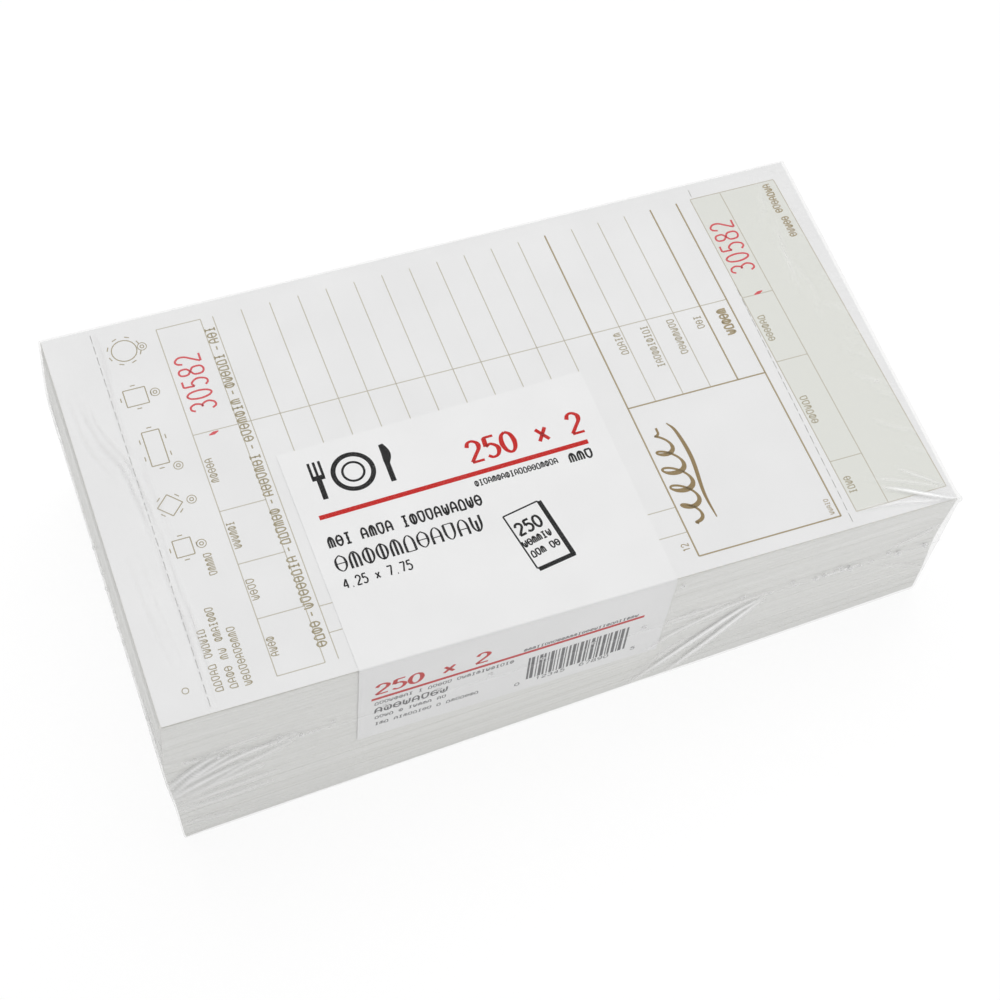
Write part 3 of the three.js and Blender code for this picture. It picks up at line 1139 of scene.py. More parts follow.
    def seats(self) -> bpy.types.Object:
        """The small seating diagrams on the stub: outlines of tables with ticks for the chairs."""
        ink = self.written()
        self.round_table(ink)
        for box in ((14.95, 83.5, 20.3, 88.3), (16.1, 65.8, 20.3, 75.6), (14.95, 40.2, 19.2, 44.85)):
            self.square_table(ink, box)
        self.tilted_table(ink)
        for place in ((22.8, 99.7), (22.3, 86.0), (22.0, 64.4), (22.4, 54.5), (21.3, 42.35)):
            ink.stroke(circle(place, 1.1, 18), 0.2)
            ink.stroke(circle(place, 0.45, 12), 0.24)
        ink.stroke(circle((7.5, 7.0), 0.75, 14), 0.2)
        return ink.piece("seating_diagrams", Ink.WORD, "check_paper")

    def round_table(self, ink: Print) -> None:
        """The round table, with eight chairs."""
        centre, radius, reach = (18.4, 99.65), 3.06, 4.0
        ink.stroke(circle(centre, radius), self.table_weight)
        for angle in np.arange(8) * np.pi / 4 + 0.39:
            self.chair(ink, np.array(centre) + reach * np.array([math.cos(angle), math.sin(angle)]), angle)

    def square_table(self, ink: Print, box: tuple[float, float, float, float]) -> None:
        """A table with straight sides and chairs round it, two on each side of a long one.

        Args:
            ink: the print that takes it.
            box: its left, low, right and high sides.
        """
        left, low, right, high = box
        self.outline(ink, [(left, low), (right, low), (right, high), (left, high)], self.table_weight)
        middle_u, middle_v = (left + right) / 2, (low + high) / 2
        seats = [middle_v]
        if high - low > 6:
            seats = [middle_v - (high - low) / 4, middle_v + (high - low) / 4]
        for side in (left - 1.0, right + 1.0):
            for seat in seats:
                self.chair(ink, np.array((side, seat)), 0.0)
        for side in (low - 1.0, high + 1.0):
            self.chair(ink, np.array((middle_u, side)), np.pi / 2)

    def tilted_table(self, ink: Print) -> None:
        """The square table that stands on its corner, with four chairs."""
        centre, half, reach = np.array((17.2, 54.4)), 3.0, 3.1
        steps = [(0.0, -half), (half, 0.0), (0.0, half), (-half, 0.0)]
        self.outline(ink, [centre + step for step in steps], self.table_weight)
        for angle in np.arange(4) * np.pi / 2 + np.pi / 4:
            self.chair(ink, centre + reach * np.array([math.cos(angle), math.sin(angle)]), angle)

    def chair(self, ink: Print, place: Array, angle: float) -> None:
        """A short tick for a chair, square to the direction in which it faces."""
        aside = np.array([-math.sin(angle), math.cos(angle)]) * self.chair_tick
        ink.stroke([place - aside, place + aside], self.table_weight)

    @staticmethod
    def outline(ink: Print, corners: Sequence[tuple[float, float]], weight: float) -> None:
        """A closed outline of straight sides."""
        for start, end in zip(corners, [*corners[1:], corners[0]]):
            ink.stroke([start, end], weight)

    def flourish(self) -> bpy.types.Object:
        """A plain pen flourish: slanting loops between a lead-in and a long swash.

        The pen runs along v while it circles. Its stroke is broad on the way down and fine on the
        way up, and the loops are small at both ends.
        """
        ink = self.written()
        start, length, middle = 12.4, 28.0, 134.2
        turns, half_width, half_height, slant = 5.5, 1.9, 3.0, 0.35
        share = np.linspace(0, 1, 190)
        swing = share * turns * 2 * np.pi
        size = np.sin(np.pi * np.clip(share * 1.06, 0, 1)) ** 0.5
        rise = half_height * size * np.cos(swing)
        across = start + length * share - half_width * size * np.sin(swing) + slant * rise
        along = middle - rise
        width = 0.6 + 0.8 * np.clip(np.sin(swing - 0.5), 0, 1) * size
        ink.stroke(np.stack([along, across], axis=1), width)
        swash = smooth_path([(138.9, 12.8), (138.5, 20.0), (139.4, 30.0), (138.6, 38.0), (137.2, 41.0)], 10)
        ink.stroke(swash, 0.3 + 0.7 * np.sin(np.linspace(0, np.pi, len(swash))))
        return ink.piece("form_flourish", Ink.PEN, "check_paper")


# The label


@dataclass
class LabelPrint:
    """The label slip of the frame, and its print.

    Attributes:
        slip: where the slip lies.
        count: the plain count, printed in red.
        bars_from: where the bars begin on the flap, in millimetres.
        bars_to: where they end.
        bars_fall: how far the flap's rows fall for each millimetre along it.
        seed: starts the random numbers.
    """

    slip: Slip
    frame: dict
    count: str = "250 x 2"
    bars_from: float = 87.6
    bars_to: float = 113.6
    bars_fall: float = 0.06
    seed: int = 31

    def build(self) -> list[bpy.types.Object]:
        """Dresses the slip and prints it."""
        paper = PaperFinish("label_paper", linear(246, 246, 246), linear(242, 242, 242)).material()
        CheckPile.assign(self.frame["nodes"]["label_slip"], paper)
        random = np.random.default_rng(self.seed)
        return [
            self.red_rules(),
            self.black_marks(random),
            self.red_number(),
            self.flap_marks(random),
            self.bars(),
        ]

    def pair(self) -> tuple[Print, Print]:
        """Empty prints on the top and on the flap that go into one piece."""
        top = Print(self.slip.on_top, 0.004 * MM)
        flap = Print(self.slip.on_flap, 0.004 * MM)
        flap.draft = top.draft
        return top, flap

    def red_rules(self) -> bpy.types.Object:
        """The two red rules."""
        top, flap = self.pair()
        top.stroke([(49.1, 40.5), (117.0, 41.7)], 1.25)
        flap.stroke(np.linspace((48.4, 47.6), (116.6, 43.3), 60), 1.2)
        return top.piece("label_red_rules", Ink.LABEL_RED, "label_paper")

    def black_marks(self, random: np.random.Generator) -> bpy.types.Object:
        """The black marks of the top: a plate between fork and knife, rows of marks, and a sheet."""
        ink, _ = self.pair()
        slope = math.atan2(1.2, 67.9)
        reading = (math.cos(slope), math.sin(slope))
        self.tableware(ink)
        Lettering((49.1, 32.0), reading, 2.8, 2.02, 1.35, 0.5).marks(ink, [3, 4, 10], random)
        Lettering((49.1, 25.3), reading, 4.3, 3.34, 2.4, 0.62, 0.6).marks(ink, [11], random)
        Lettering((49.1, 20.8), reading, 2.5, 1.55, 1.1, 0.38).number(ink, "4.25 x 7.75")
        Lettering((87.0, 37.7), reading, 1.5, 1.12, 0.8, 0.28).marks(ink, [19], random)
        Lettering((111.0, 37.2), reading, 2.4, 2.1, 1.5, 0.5).marks(ink, [3], random)
        self.sheet_symbol(ink, random)
        return ink.piece("label_black_marks", Ink.BLACK, "label_paper")

    @staticmethod
    def tableware(ink: Print) -> None:
        """A plate between a fork and a knife."""
        middle = 50.4
        ink.stroke(circle((60.6, middle), 4.8, 40), 1.2)
        ink.stroke(circle((60.6, middle), 2.6, 30), 0.6)
        ink.stroke([(52.2, middle - 5.4), (52.2, middle + 0.5)], 1.3)
        for offset in (-1.3, 0.0, 1.3):
            ink.stroke([(52.2 + offset, middle + 0.6), (52.2 + offset, middle + 5.2)], 0.65)
        ink.stroke([(50.6, middle + 0.7), (53.8, middle + 0.7)], 1.3)
        ink.stroke([(69.0, middle - 5.4), (69.0, middle + 0.4)], 1.3)
        knife = smooth_path([(69.0, middle), (69.5, middle + 2.5), (69.0, middle + 5.3)])
        ink.stroke(knife, 1.1 + 1.1 * np.sin(np.linspace(0.3, np.pi, len(knife))))

    @staticmethod
    def sheet_symbol(ink: Print, random: np.random.Generator) -> None:
        """A tilted sheet outline with a heavy edge and the number of checks in the pack."""
        u, v = 90.2, 12.4
        CheckForm.outline(ink, [(u, v + 15.5), (u + 9.2, v + 17.2), (u + 12.0, v + 1.4), (u + 3.0, v)], 0.4)
        ink.stroke([(u + 9.7, v + 17.1), (u + 12.6, v + 1.0)], 0.95)
        ink.stroke([(u + 3.3, v - 0.4), (u + 12.9, v + 1.1)], 0.95)
        reading = (0.978, 0.208)
        Lettering((u + 2.2, v + 9.4), reading, 3.2, 2.35, 1.7, 0.62).number(ink, "250")
        Lettering((u + 2.2, v + 6.1), reading, 1.7, 1.3, 0.95, 0.36).marks(ink, [6], random)
        Lettering((u + 3.2, v + 3.0), reading, 1.7, 1.3, 0.95, 0.36).marks(ink, [3, 2], random)

    def red_number(self) -> bpy.types.Object:
        """The plain red count, on the label's upper right corner and at the head of its flap."""
        top, flap = self.pair()
        Lettering((88.4, 44.2), (0.9998, 0.0177), 5.8, 4.3, 3.1, 1.25, 0.45).number(top, self.count)
        Lettering((49.4, 50.0), (0.998, -0.063), 5.4, 4.1, 3.0, 1.2, 0.45).number(flap, self.count)
        return top.piece("label_red_numbers", Ink.LABEL_RED, "label_paper")

    def flap_marks(self, random: np.random.Generator) -> bpy.types.Object:
        """The small rows of marks on the flap."""
        _, ink = self.pair()
        reading = (0.998, -0.062)
        rows = [
            (49.2, 43.9, 1.5, 0.24, [8, 1, 5, 12]),
            (49.2, 39.0, 2.9, 0.46, [8]),
            (49.2, 35.6, 1.5, 0.24, [4, 1, 5, 2]),
            (49.2, 31.6, 1.5, 0.24, [3, 8, 1, 7]),
            (86.0, 46.3, 1.3, 0.24, [28]),
        ]
        for u, z, height, weight, lengths in rows:
            row = Lettering((u, z), reading, height, height * 0.8, height * 0.56, weight)
            row.marks(ink, lengths, random)
        return ink.piece("label_flap_marks", Ink.GREY, "label_paper")

    def bars(self) -> bpy.types.Object:
        """A plain row of upright bars whose widths follow a sine rule, with digits below."""
        _, ink = self.pair()
        widths, gaps = (0.28, 0.52, 0.8), (0.3, 0.55, 0.45)
        level_from, high, low, digits_low = 86.0, 41.2, 28.4, 26.2
        place, index = self.bars_from, 0
        while place < self.bars_to:
            width = widths[int(1.5 + 1.49 * math.sin(index * 2.3))]
            fall = (place - level_from) * self.bars_fall
            ink.stroke([(place + width / 2, high - fall), (place + width / 2, low - fall)], width)
            place += width + gaps[index % 3]
            index += 1
        for start, digits in ((84.8, "0"), (90.2, "12345"), (101.6, "67890"), (115.0, "5")):
            fall = (start - level_from) * self.bars_fall
            row = Lettering((start, digits_low - fall), (0.998, -0.06), 1.7, 1.6, 1.1, 0.24)
            row.number(ink, digits)
        return ink.piece("label_bars", Ink.GREY, "label_paper")


# The film


@dataclass(frozen=True)
class Crease:
    """A ridge of the film along a curve on the straight box that the wedge is made from.

    Attributes:
        path: its points as (along, across, height), in millimetres.
        height: how far the ridge stands up, in millimetres.
        width: its half width, in millimetres.
        light: how white the ridge is, a painted highlight over the film's haze, from 0 to 1.
        painted_shade: how strong the painted shade is at its foot beside a white ridge, and along a ridge
            with no white, from 0 to 1.
    """

    path: tuple[tuple[float, float, float], ...]
    height: float
    width: float
    light: float
    painted_shade: float


@dataclass
class ShrinkFilm:
    """The clear film, stretched over the pack with its creases, its weld and its vents.

    Attributes:
        pile: the wedge that it follows.
        box_height: the height of the straight box that the wedge is made from.
        seam_level: the height of the seam in the straight box.
        side_gap: how far the film lies off the sheets at the sides.
        top_gap: how far it lies off them at the top.
        foot: how far it lies below the lowest sheet.
        radius: the radius of its edges.
        seam_at_stub: the height of the seam in the wedge at the stubs.
        seam_at_free: its height at the receipts.
        seam_rise: how much further it rises at the stub end.
        seam_reach: over what length that rise falls off.
        seam_bead: how far the seam stands out.
        seam_blobs: the blobs of the weld on the front, as (place, size), both in millimetres.
        vent_pitch: the step from one vent to the next.
        vent_radius: the radius of a vent.
        vent_lip: how far its lip stands out.
        vent_rise: how far the vents lie over the seam.
        single_vent: the place of the vent by the label, as (u, z) in millimetres.
        corner_pinch: how far the film stands up at the receipt's front corner.
        corner_reach: over what length that falls off.
        tight: where the film is drawn over the label, from u to u in millimetres.
        tight_share: how loose it is there, beside 1 elsewhere on the front.
        side_share: how loose it is on the other sides.
        side_haze: how white the loose film is at the sides, from 0 to 1.
        top_haze: how white all of the film is at least.
        seed: starts the random numbers.
    """

    pile: Pile
    box_height: float = 61 * MM
    seam_level: float = 36 * MM
    side_gap: float = 0.56 * MM
    top_gap: float = 0.27 * MM
    foot: float = 0.08 * MM
    radius: float = 0.55 * MM
    seam_at_stub: float = 44 * MM
    seam_at_free: float = 28.5 * MM
    seam_rise: float = 7.5 * MM
    seam_reach: float = 12 * MM
    seam_bead: float = 0.18 * MM
    seam_blobs: Sequence[tuple[float, float]] = (
        (5.0, 0.7), (7.0, 0.9), (9.6, 0.6), (12.2, 1.0), (15.0, 0.7), (18.4, 0.9), (21.0, 0.6),
        (24.6, 0.8), (26.8, 1.0), (29.4, 0.7), (32.1, 1.1), (35.2, 0.6), (39.0, 0.4),
        (151.0, 0.6), (158.0, 0.7), (163.4, 1.0), (165.7, 1.3), (168.4, 0.9), (170.6, 1.2),
        (172.6, 1.9), (175.2, 0.8), (178.6, 0.7), (185.9, 1.8), (193.1, 1.5),
    )
    vent_pitch: float = 13 * MM
    vent_radius: float = 0.55 * MM
    vent_lip: float = 0.15 * MM
    vent_rise: float = 1.9 * MM
    single_vent: tuple[float, float] = (125.3, 54.2)
    corner_pinch: float = 0.5 * MM
    corner_reach: float = 1.6 * MM
    tight: tuple[float, float] = (45.3, 123.4)
    tight_share: float = 0.3
    side_share: float = 0.9
    side_haze: float = 0.2
    top_haze: float = 0.008
    seed: int = 9

    def build(self) -> list[bpy.types.Object]:
        """Makes the film, its weld and its vents."""
        # White for the film's haze and its painted highlights, grey for the painted shade along the creases.
        finish = FilmFinish("clear_film", linear(255, 255, 255), linear(176, 176, 176)).material()
        milky = FilmFinish("film_weld", linear(255, 255, 255), linear(190, 190, 190), 0.04, 0.3, 0.6)
        weld = milky.material()
        skin = dress(self.skin(), finish)
        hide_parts("shrink_film")
        return [skin, dress(self.weld(), weld), dress(self.vents(), weld)]

    @property
    def half(self) -> tuple[float, float]:
        """Half the length and half the width of the straight box."""
        return self.pile.length / 2 + self.side_gap, self.pile.width / 2 + self.side_gap

    def seam_share(self, along: Array) -> Array:
        """The share of the height at which the seam runs: a straight fall, with a rise at the stubs."""
        u = np.clip(along + self.pile.length / 2, 0, self.pile.length)
        height = self.seam_at_stub + (self.seam_at_free - self.seam_at_stub) * u / self.pile.length
        height = height + self.seam_rise * np.exp(-u / self.seam_reach)
        return height / self.pile.height_at(u - self.pile.length / 2)

    def stations(self, low: float, high: float, steps: Sequence[tuple[float, float]]) -> Array:
        """Places along one side of the box, close together in the rounded edges.

        Args:
            low: where the side begins.
            high: where it ends.
            steps: (reach, spacing) pairs: up to each reach, the spacing of the places.

        Returns:
            The places from low to high.
        """
        inner_low, inner_high = low + self.radius, high - self.radius
        arc = self.radius * np.tan(np.radians([45, 30, 15]))
        flat = [inner_low]
        while flat[-1] < inner_high:
            spacing = next(gap for reach, gap in steps if flat[-1] < reach)
            flat.append(flat[-1] + spacing)
        flat = np.array(flat)
        flat = inner_low + (flat - inner_low) * (inner_high - inner_low) / (flat[-1] - inner_low)
        return np.concatenate([inner_low - arc, flat, inner_high + arc[::-1]])

    def shell(self) -> tuple[Array, Array]:
        """The points and quads of the box's surface, with shared points along its edges."""
        x, y = self.half
        along = [(32, 0.66), (108, 1.7), (150, 0.66), (178, 1.4), (250, 0.62)]
        across = [(14, 0.62), (30, 1.1), (200, 1.7)]
        xs = self.stations(-x, x, [((reach * MM - x), gap * MM) for reach, gap in along])
        ys = self.stations(-y, y, [((reach * MM - y), gap * MM) for reach, gap in across])
        zs = self.stations(0.0, self.box_height + self.top_gap, [(1, 0.62 * MM)])
        sizes = (len(xs), len(ys), len(zs))
        keys, quads, start = [], [], 0
        for axis in range(3):
            first, second = [a for a in range(3) if a != axis]
            a, b = np.meshgrid(np.arange(sizes[first]), np.arange(sizes[second]), indexing="ij")
            for end in (0, sizes[axis] - 1):
                index = [None, None, None]
                index[axis], index[first], index[second] = np.full(a.size, end), a.ravel(), b.ravel()
                keys.append(np.stack(index, axis=1))
                face = grid_quads(sizes[first], sizes[second]) + start
                flip = (end == 0) == (axis != 1)
                quads.append(face[:, ::-1] if not flip else face)
                start += a.size
        keys, quads = np.vstack(keys), np.vstack(quads)
        flat = (keys[:, 0] * sizes[1] + keys[:, 1]) * sizes[2] + keys[:, 2]
        _, kept, merged = np.unique(flat, return_index=True, return_inverse=True)
        keys = keys[kept]
        return np.stack([xs[keys[:, 0]], ys[keys[:, 1]], zs[keys[:, 2]]], axis=1), merged[quads]

    def rounded(self, box: Array) -> tuple[Array, Array]:
        """Rounds the box's edges: each point goes out from the inner box by the radius.

        Returns:
            The rounded points and the direction outwards at each.
        """
        x, y = self.half
        low = np.array([-x, -y, 0.0]) + self.radius
        high = np.array([x, y, self.box_height + self.top_gap]) - self.radius
        inner = np.clip(box, low, high)
        away = box - inner
        outwards = away / np.linalg.norm(away, axis=1, keepdims=True)
        return inner + outwards * self.radius, outwards

    def to_wedge(self, straight: Array) -> Array:
        """Carries points of the straight box to the leaning wedge.

        Below the seam's level the height is shared out up to the seam, and above it up to the top.
        What lies over the top stands square on the top sheet.
        """
        along, across = straight[:, 0], straight[:, 1]
        below = straight[:, 2] - self.foot
        over = np.maximum(below - self.box_height, 0)
        under = np.minimum(below, 0)
        level = np.clip(below, 0, self.box_height)
        seam = self.seam_share(along)
        lower = seam * level / self.seam_level
        upper = seam + (1 - seam) * (level - self.seam_level) / (self.box_height - self.seam_level)
        share = np.where(level < self.seam_level, lower, upper)
        points = self.pile.point(share, along, across, over + under)
        towards_free = np.clip((along + self.pile.length / 2) / self.pile.length, 0, 1)
        points[:, 0] += self.pile.bulge_at(share) * towards_free
        return points

    def top_line(self, *uv: tuple[float, float]) -> tuple[tuple[float, float, float], ...]:
        """A path on the top, from (u, v) places in millimetres."""
        x, y = self.pile.length / 2 / MM, self.pile.width / 2 / MM
        return tuple((u - x, v - y, self.box_height / MM + 0.3) for u, v in uv)

    def front_line(self, *uz: tuple[float, float]) -> tuple[tuple[float, float, float], ...]:
        """A path on the front, from (u, z) places of the leaning face in millimetres."""
        x, y = self.pile.length / 2 / MM, self.half[1] / MM
        path = []
        for u, z in uz:
            share = z * MM / float(self.pile.height_at(np.array(u * MM - self.pile.length / 2)))
            path.append((u - x, -y, self.level_of(share, u * MM - self.pile.length / 2) / MM))
        return tuple(path)

    def level_of(self, share: float, along: float) -> float:
        """The level in the straight box of a share of the height."""
        seam = float(self.seam_share(np.array(along)))
        if share < seam:
            return self.seam_level * share / seam
        return self.seam_level + (self.box_height - self.seam_level) * (share - seam) / (1 - seam)

    def seen_creases(self) -> list[Crease]:
        """The creases that the front, the top and the near corners show, with painted highlights on their
        crests and painted shade at their feet.
        """
        front, top = self.front_line, self.top_line
        return [
            Crease(front((-0.3, 35.8), (6.2, 42.6), (12.1, 46.6)), 0.16, 0.6, 0.75, 0.15),
            Crease(front((0.6, 32.2), (8.8, 40.2), (16.2, 44.9)), 0.16, 0.65, 0.75, 0.15),
            Crease(front((-0.3, 29.2), (8.3, 33.6), (17.7, 37.1)), 0.18, 0.7, 0.7, 0.12),
            Crease(front((-0.3, 30.4), (5.1, 37.9), (8.3, 42.6)), 0.12, 0.5, 0.6, 0.15),
            Crease(front((4.0, 35.0), (16.0, 41.0), (31.0, 43.6)), 0.12, 0.7, 0.6, 0.1),
            Crease(front((3.0, 25.5), (16.0, 34.0), (30.0, 39.8)), 0.1, 0.8, 0.45, 0.08),
            Crease(front((0.2, 26.4), (10.0, 29.4), (22.0, 31.6)), 0.12, 0.85, 0.4, 0.08),
            Crease(front((0.5, 22.6), (12.0, 24.0), (25.0, 25.0)), 0.1, 0.85, 0.3, 0.08),
            Crease(front((1.0, 19.2), (11.0, 18.6), (23.5, 19.1)), 0.1, 0.8, 0.3, 0.08),
            Crease(front((1.0, 11.0), (8.0, 8.4), (15.0, 6.4)), 0.07, 0.8, 0.2, 0.06),
            Crease(front((6.0, 46.8), (14.0, 48.8), (24.0, 49.6)), 0.06, 0.6, 0.25, 0.08),
            Crease(
                front((117.8, 2.5), (128.7, 12.9), (137.6, 21.3), (144.0, 26.9), (149.0, 29.4)),
                0.09, 0.95, 1.0, 0.0,
            ),
            Crease(front((128.1, 2.2), (136.9, 12.7), (143.6, 21.2), (149.3, 28.4)), 0.09, 0.9, 1.0, 0.0),
            Crease(
                front((119.0, 20.6), (126.0, 26.0), (133.1, 29.3), (141.7, 32.0), (149.6, 32.2)),
                0.12, 0.85, 0.45, 0.08,
            ),
            Crease(front((122.0, 35.4), (132.3, 34.8), (140.2, 34.0)), 0.07, 0.7, 0.3, 0.06),
            Crease(front((114.0, 3.0), (124.0, 14.0), (131.0, 21.0)), 0.08, 0.9, 0.2, 0.05),
            Crease(
                top((5.2, 87.3), (6.4, 78.2), (9.9, 68.5), (10.9, 60.6), (11.6, 52.8), (12.2, 43.6)),
                0.22, 0.7, 0.25, 0.35,
            ),
            Crease(top((12.0, 47.0), (12.4, 32.1), (13.0, 19.2), (12.2, 0.8)), 0.18, 0.7, 0.2, 0.3),
            Crease(top((12.7, 107.4), (13.0, 99.1), (11.9, 81.7), (12.4, 70.3)), 0.16, 0.6, 0.0, 0.25),
            Crease(top((3.4, 90.0), (4.4, 76.0), (7.6, 66.0)), 0.14, 0.9, 0.2, 0.18),
            Crease(top((5.4, 44.0), (6.0, 30.0), (7.6, 14.0)), 0.14, 0.9, 0.2, 0.15),
            Crease(top((14.2, 72.0), (14.4, 58.0), (15.8, 42.0)), 0.1, 0.8, 0.0, 0.15),
            Crease(
                top((180.5, 8.0), (184.8, 5.8), (189.0, 3.4), (193.4, 1.1), (196.6, -0.5)),
                0.5, 0.6, 1.0, 0.2,
            ),
            Crease(top((177.5, 11.5), (184.0, 9.0), (191.0, 5.5), (196.0, 1.8)), 0.2, 0.7, 0.35, 0.1),
            Crease(top((172.0, 4.0), (182.0, 3.0), (190.0, 1.0), (196.4, -0.4)), 0.2, 0.55, 0.5, 0.1),
            Crease(top((186.0, 12.0), (190.0, 8.4), (196.0, 3.4)), 0.2, 0.6, 0.45, 0.1),
            Crease(top((187.2, 91.0), (185.7, 80.6), (184.5, 67.4)), 0.12, 0.8, 0.3, 0.0),
            Crease(top((183.9, 85.1), (188.1, 68.2), (185.5, 58.5)), 0.12, 0.7, 0.22, 0.0),
            Crease(top((188.6, 104.0), (186.4, 96.0), (182.6, 90.0)), 0.12, 0.9, 0.25, 0.0),
        ]

    def receipt_streaks(self, random: np.random.Generator) -> list[Crease]:
        """Soft slanting streaks at the free end, where the film is drawn over the edge, painted white as
        highlights.
        """
        creases = []
        end = self.pile.length / MM - 0.25
        for across in np.linspace(12, 104, 17):
            start = across + random.uniform(-2, 2)
            length = random.uniform(4, 11)
            near = end - 0.3 - length
            begin = (near, start + length * 0.7)
            middle = (near + length * 0.5, start + length * 0.3)
            path = self.top_line(begin, middle, (end, start))
            # The white of each streak is a painted highlight.
            white = random.uniform(0.1, 0.3)
            creases.append(Crease(path, random.uniform(0.06, 0.14), random.uniform(0.5, 0.9), white, 0.0))
        return creases

    def corner_fans(self, random: np.random.Generator) -> list[Crease]:
        """Fans of creases where the film is gathered at the ends of the seam, on every upright edge, with
        painted highlights on their crests and faint painted shade at their feet.
        """
        x, y = (side / MM for side in self.half)
        middle = self.seam_level / MM
        creases = []
        for corner_x, corner_y in ((-x, -y), (x, -y), (x, y), (-x, y)):
            for inwards in ((-np.sign(corner_x), 0.0), (0.0, -np.sign(corner_y))):
                on_front = corner_y < 0 and inwards[0] != 0
                for _ in range(self.fan_count(corner_x, corner_y, on_front)):
                    level = middle + random.uniform(-26, 18)
                    length = random.uniform(8, 26)
                    rise = (middle - level) * random.uniform(0.4, 0.9)
                    share = np.array([0.0, 0.5, 1.0])
                    along = corner_x + inwards[0] * length * share
                    across = corner_y + inwards[1] * length * share
                    path = tuple(zip(along, across, level + rise * share**0.8))
                    height, width = random.uniform(0.03, 0.09), random.uniform(0.5, 0.9)
                    # The white is a painted highlight on the crease, and the 0.08 below is painted shade at
                    # its foot.
                    white = random.uniform(0.15, 0.45) * (0.5 if on_front else 1.0)
                    creases.append(Crease(path, height, width, white, 0.08))
        return creases

    @staticmethod
    def fan_count(corner_x: float, corner_y: float, on_front: bool) -> int:
        """How many creases a fan has: none where seen_creases() holds those of the near edges."""
        near_free_end = corner_x > 0 and corner_y < 0 and not on_front
        near_stub = corner_x < 0 and on_front
        if near_free_end or near_stub:
            return 0
        return 3 if on_front else 11

    def relief(self, straight: Array) -> tuple[Array, Array, Array]:
        """How far each point stands out, and how much painted highlight and painted shade it takes.

        Each crease adds a ridge that falls with the square of the distance from its curve and fades at
        both ends. Its painted shade lies at the foot beside a white ridge, and on a ridge with no white.

        Returns:
            The height in metres, the white share (film haze and painted highlight) and the share of painted
            shade.
        """
        random = np.random.default_rng(self.seed)
        creases = self.seen_creases() + self.receipt_streaks(random) + self.corner_fans(random)
        place = straight / MM
        height, light, painted_shade = (np.zeros(len(place)) for _ in range(3))
        for crease in creases:
            curve = smooth_path(crease.path, 8)
            reach = 3.2 * crease.width
            in_box = (place > curve.min(0) - reach) & (place < curve.max(0) + reach)
            near = np.flatnonzero(in_box.all(axis=1))
            starts, spans = curve[:-1], np.diff(curve, axis=0)
            offset = place[near][:, None] - starts[None]
            share = np.clip((offset * spans).sum(-1) / (spans * spans).sum(-1), 0, 1)
            away = np.linalg.norm(offset - share[..., None] * spans, axis=-1)
            nearest = away.argmin(axis=1)
            distance = away[np.arange(len(near)), nearest]
            travelled = (nearest + share[np.arange(len(near)), nearest]) / len(spans)
            fade = np.sin(np.pi * np.clip(travelled * 0.92 + 0.04, 0, 1)) ** 0.6
            ridge = np.exp(-((distance / crease.width) ** 2)) * fade
            foot = np.exp(-(((distance - 1.4 * crease.width) / (0.6 * crease.width)) ** 2)) * fade
            height[near] += crease.height * ridge
            # White along the crest is a painted highlight; the share below it is painted shade.
            light[near] = np.maximum(light[near], crease.light * ridge)
            side = foot if crease.light > 0 else ridge
            painted_shade[near] = np.maximum(painted_shade[near], crease.painted_shade * side)
        return np.minimum(height, 0.6) * MM, light, painted_shade

    def skin(self) -> bpy.types.Object:
        """The film itself, one closed surface."""
        box, quads = self.shell()
        straight, outwards = self.rounded(box)
        height, light, painted_shade = self.relief(straight)
        bead = self.seam_bead * np.exp(-(((straight[:, 2] - self.seam_level) / (0.9 * MM)) ** 2))
        on_side = 1 - np.abs(outwards[:, 2])
        to_back = np.clip((straight[:, 1] / self.half[1] - 0.6) / 0.4, 0, 1)
        height = height + bead * on_side * (1 - to_back) + self.waves(straight)
        height = np.where(outwards[:, 2] < -0.5, 0.0, height)
        corner = np.array([self.half[0], -self.half[1], self.box_height])
        from_corner = np.linalg.norm(straight - corner, axis=1)
        height = height + self.corner_pinch * np.exp(-((from_corner / self.corner_reach) ** 2))
        # The white share adds the film's haze at the sides and top, and the painted highlight round the weld
        # blobs.
        light = np.clip(light + self.side_haze * on_side * self.slack_share(straight) + self.top_haze, 0, 1)
        light = np.maximum(light, self.blob_whitening_and_highlight(straight))
        points = self.to_wedge(straight + outwards * height[:, None])
        made = mesh_object("shrink_film_skin", points, quads, True)
        # crease: film haze and painted highlights; shadow: painted shade.
        store(made, "crease", light)
        store(made, "shadow", painted_shade)
        return made

    @staticmethod
    def waves(straight: Array) -> Array:
        """The slow waves of the film: three sines along slanting directions, never below zero."""
        sines = [((61, 83, 97), 0.4), ((-97, 45, 143), 2.1), ((149, -71, 52), 4.0)]
        total = sum(np.sin(straight @ np.array(rates) + shift) for rates, shift in sines)
        return (total + len(sines)) * 0.02 * MM

    def on_front(self, straight: Array) -> Array:
        """Whether each point lies on the front."""
        return straight[:, 1] < -self.half[1] + 2 * self.radius

    def slack_share(self, straight: Array) -> Array:
        """How loosely the film lies: it is drawn tight over the label, and is clearer there."""
        u = (straight[:, 0] + self.pile.length / 2) / MM
        over_label = (u > self.tight[0]) & (u < self.tight[1])
        return np.where(self.on_front(straight), np.where(over_label, self.tight_share, 1.0), self.side_share)

    def blob_whitening_and_highlight(self, straight: Array) -> Array:
        """The whitened film round each blob of the weld on the front, made stronger as a painted highlight.
        """
        u = (straight[:, 0] + self.pile.length / 2) / MM
        z = (straight[:, 2] - self.seam_level) / MM
        half_width, half_height, strength, most = 0.9, 0.8, 0.75, 0.9
        fade = (z / half_height) ** 2
        halo = [size * np.exp(-(((u - place) / half_width) ** 2) - fade) for place, size in self.seam_blobs]
        return np.clip(strength * sum(halo), 0, most) * self.on_front(straight)

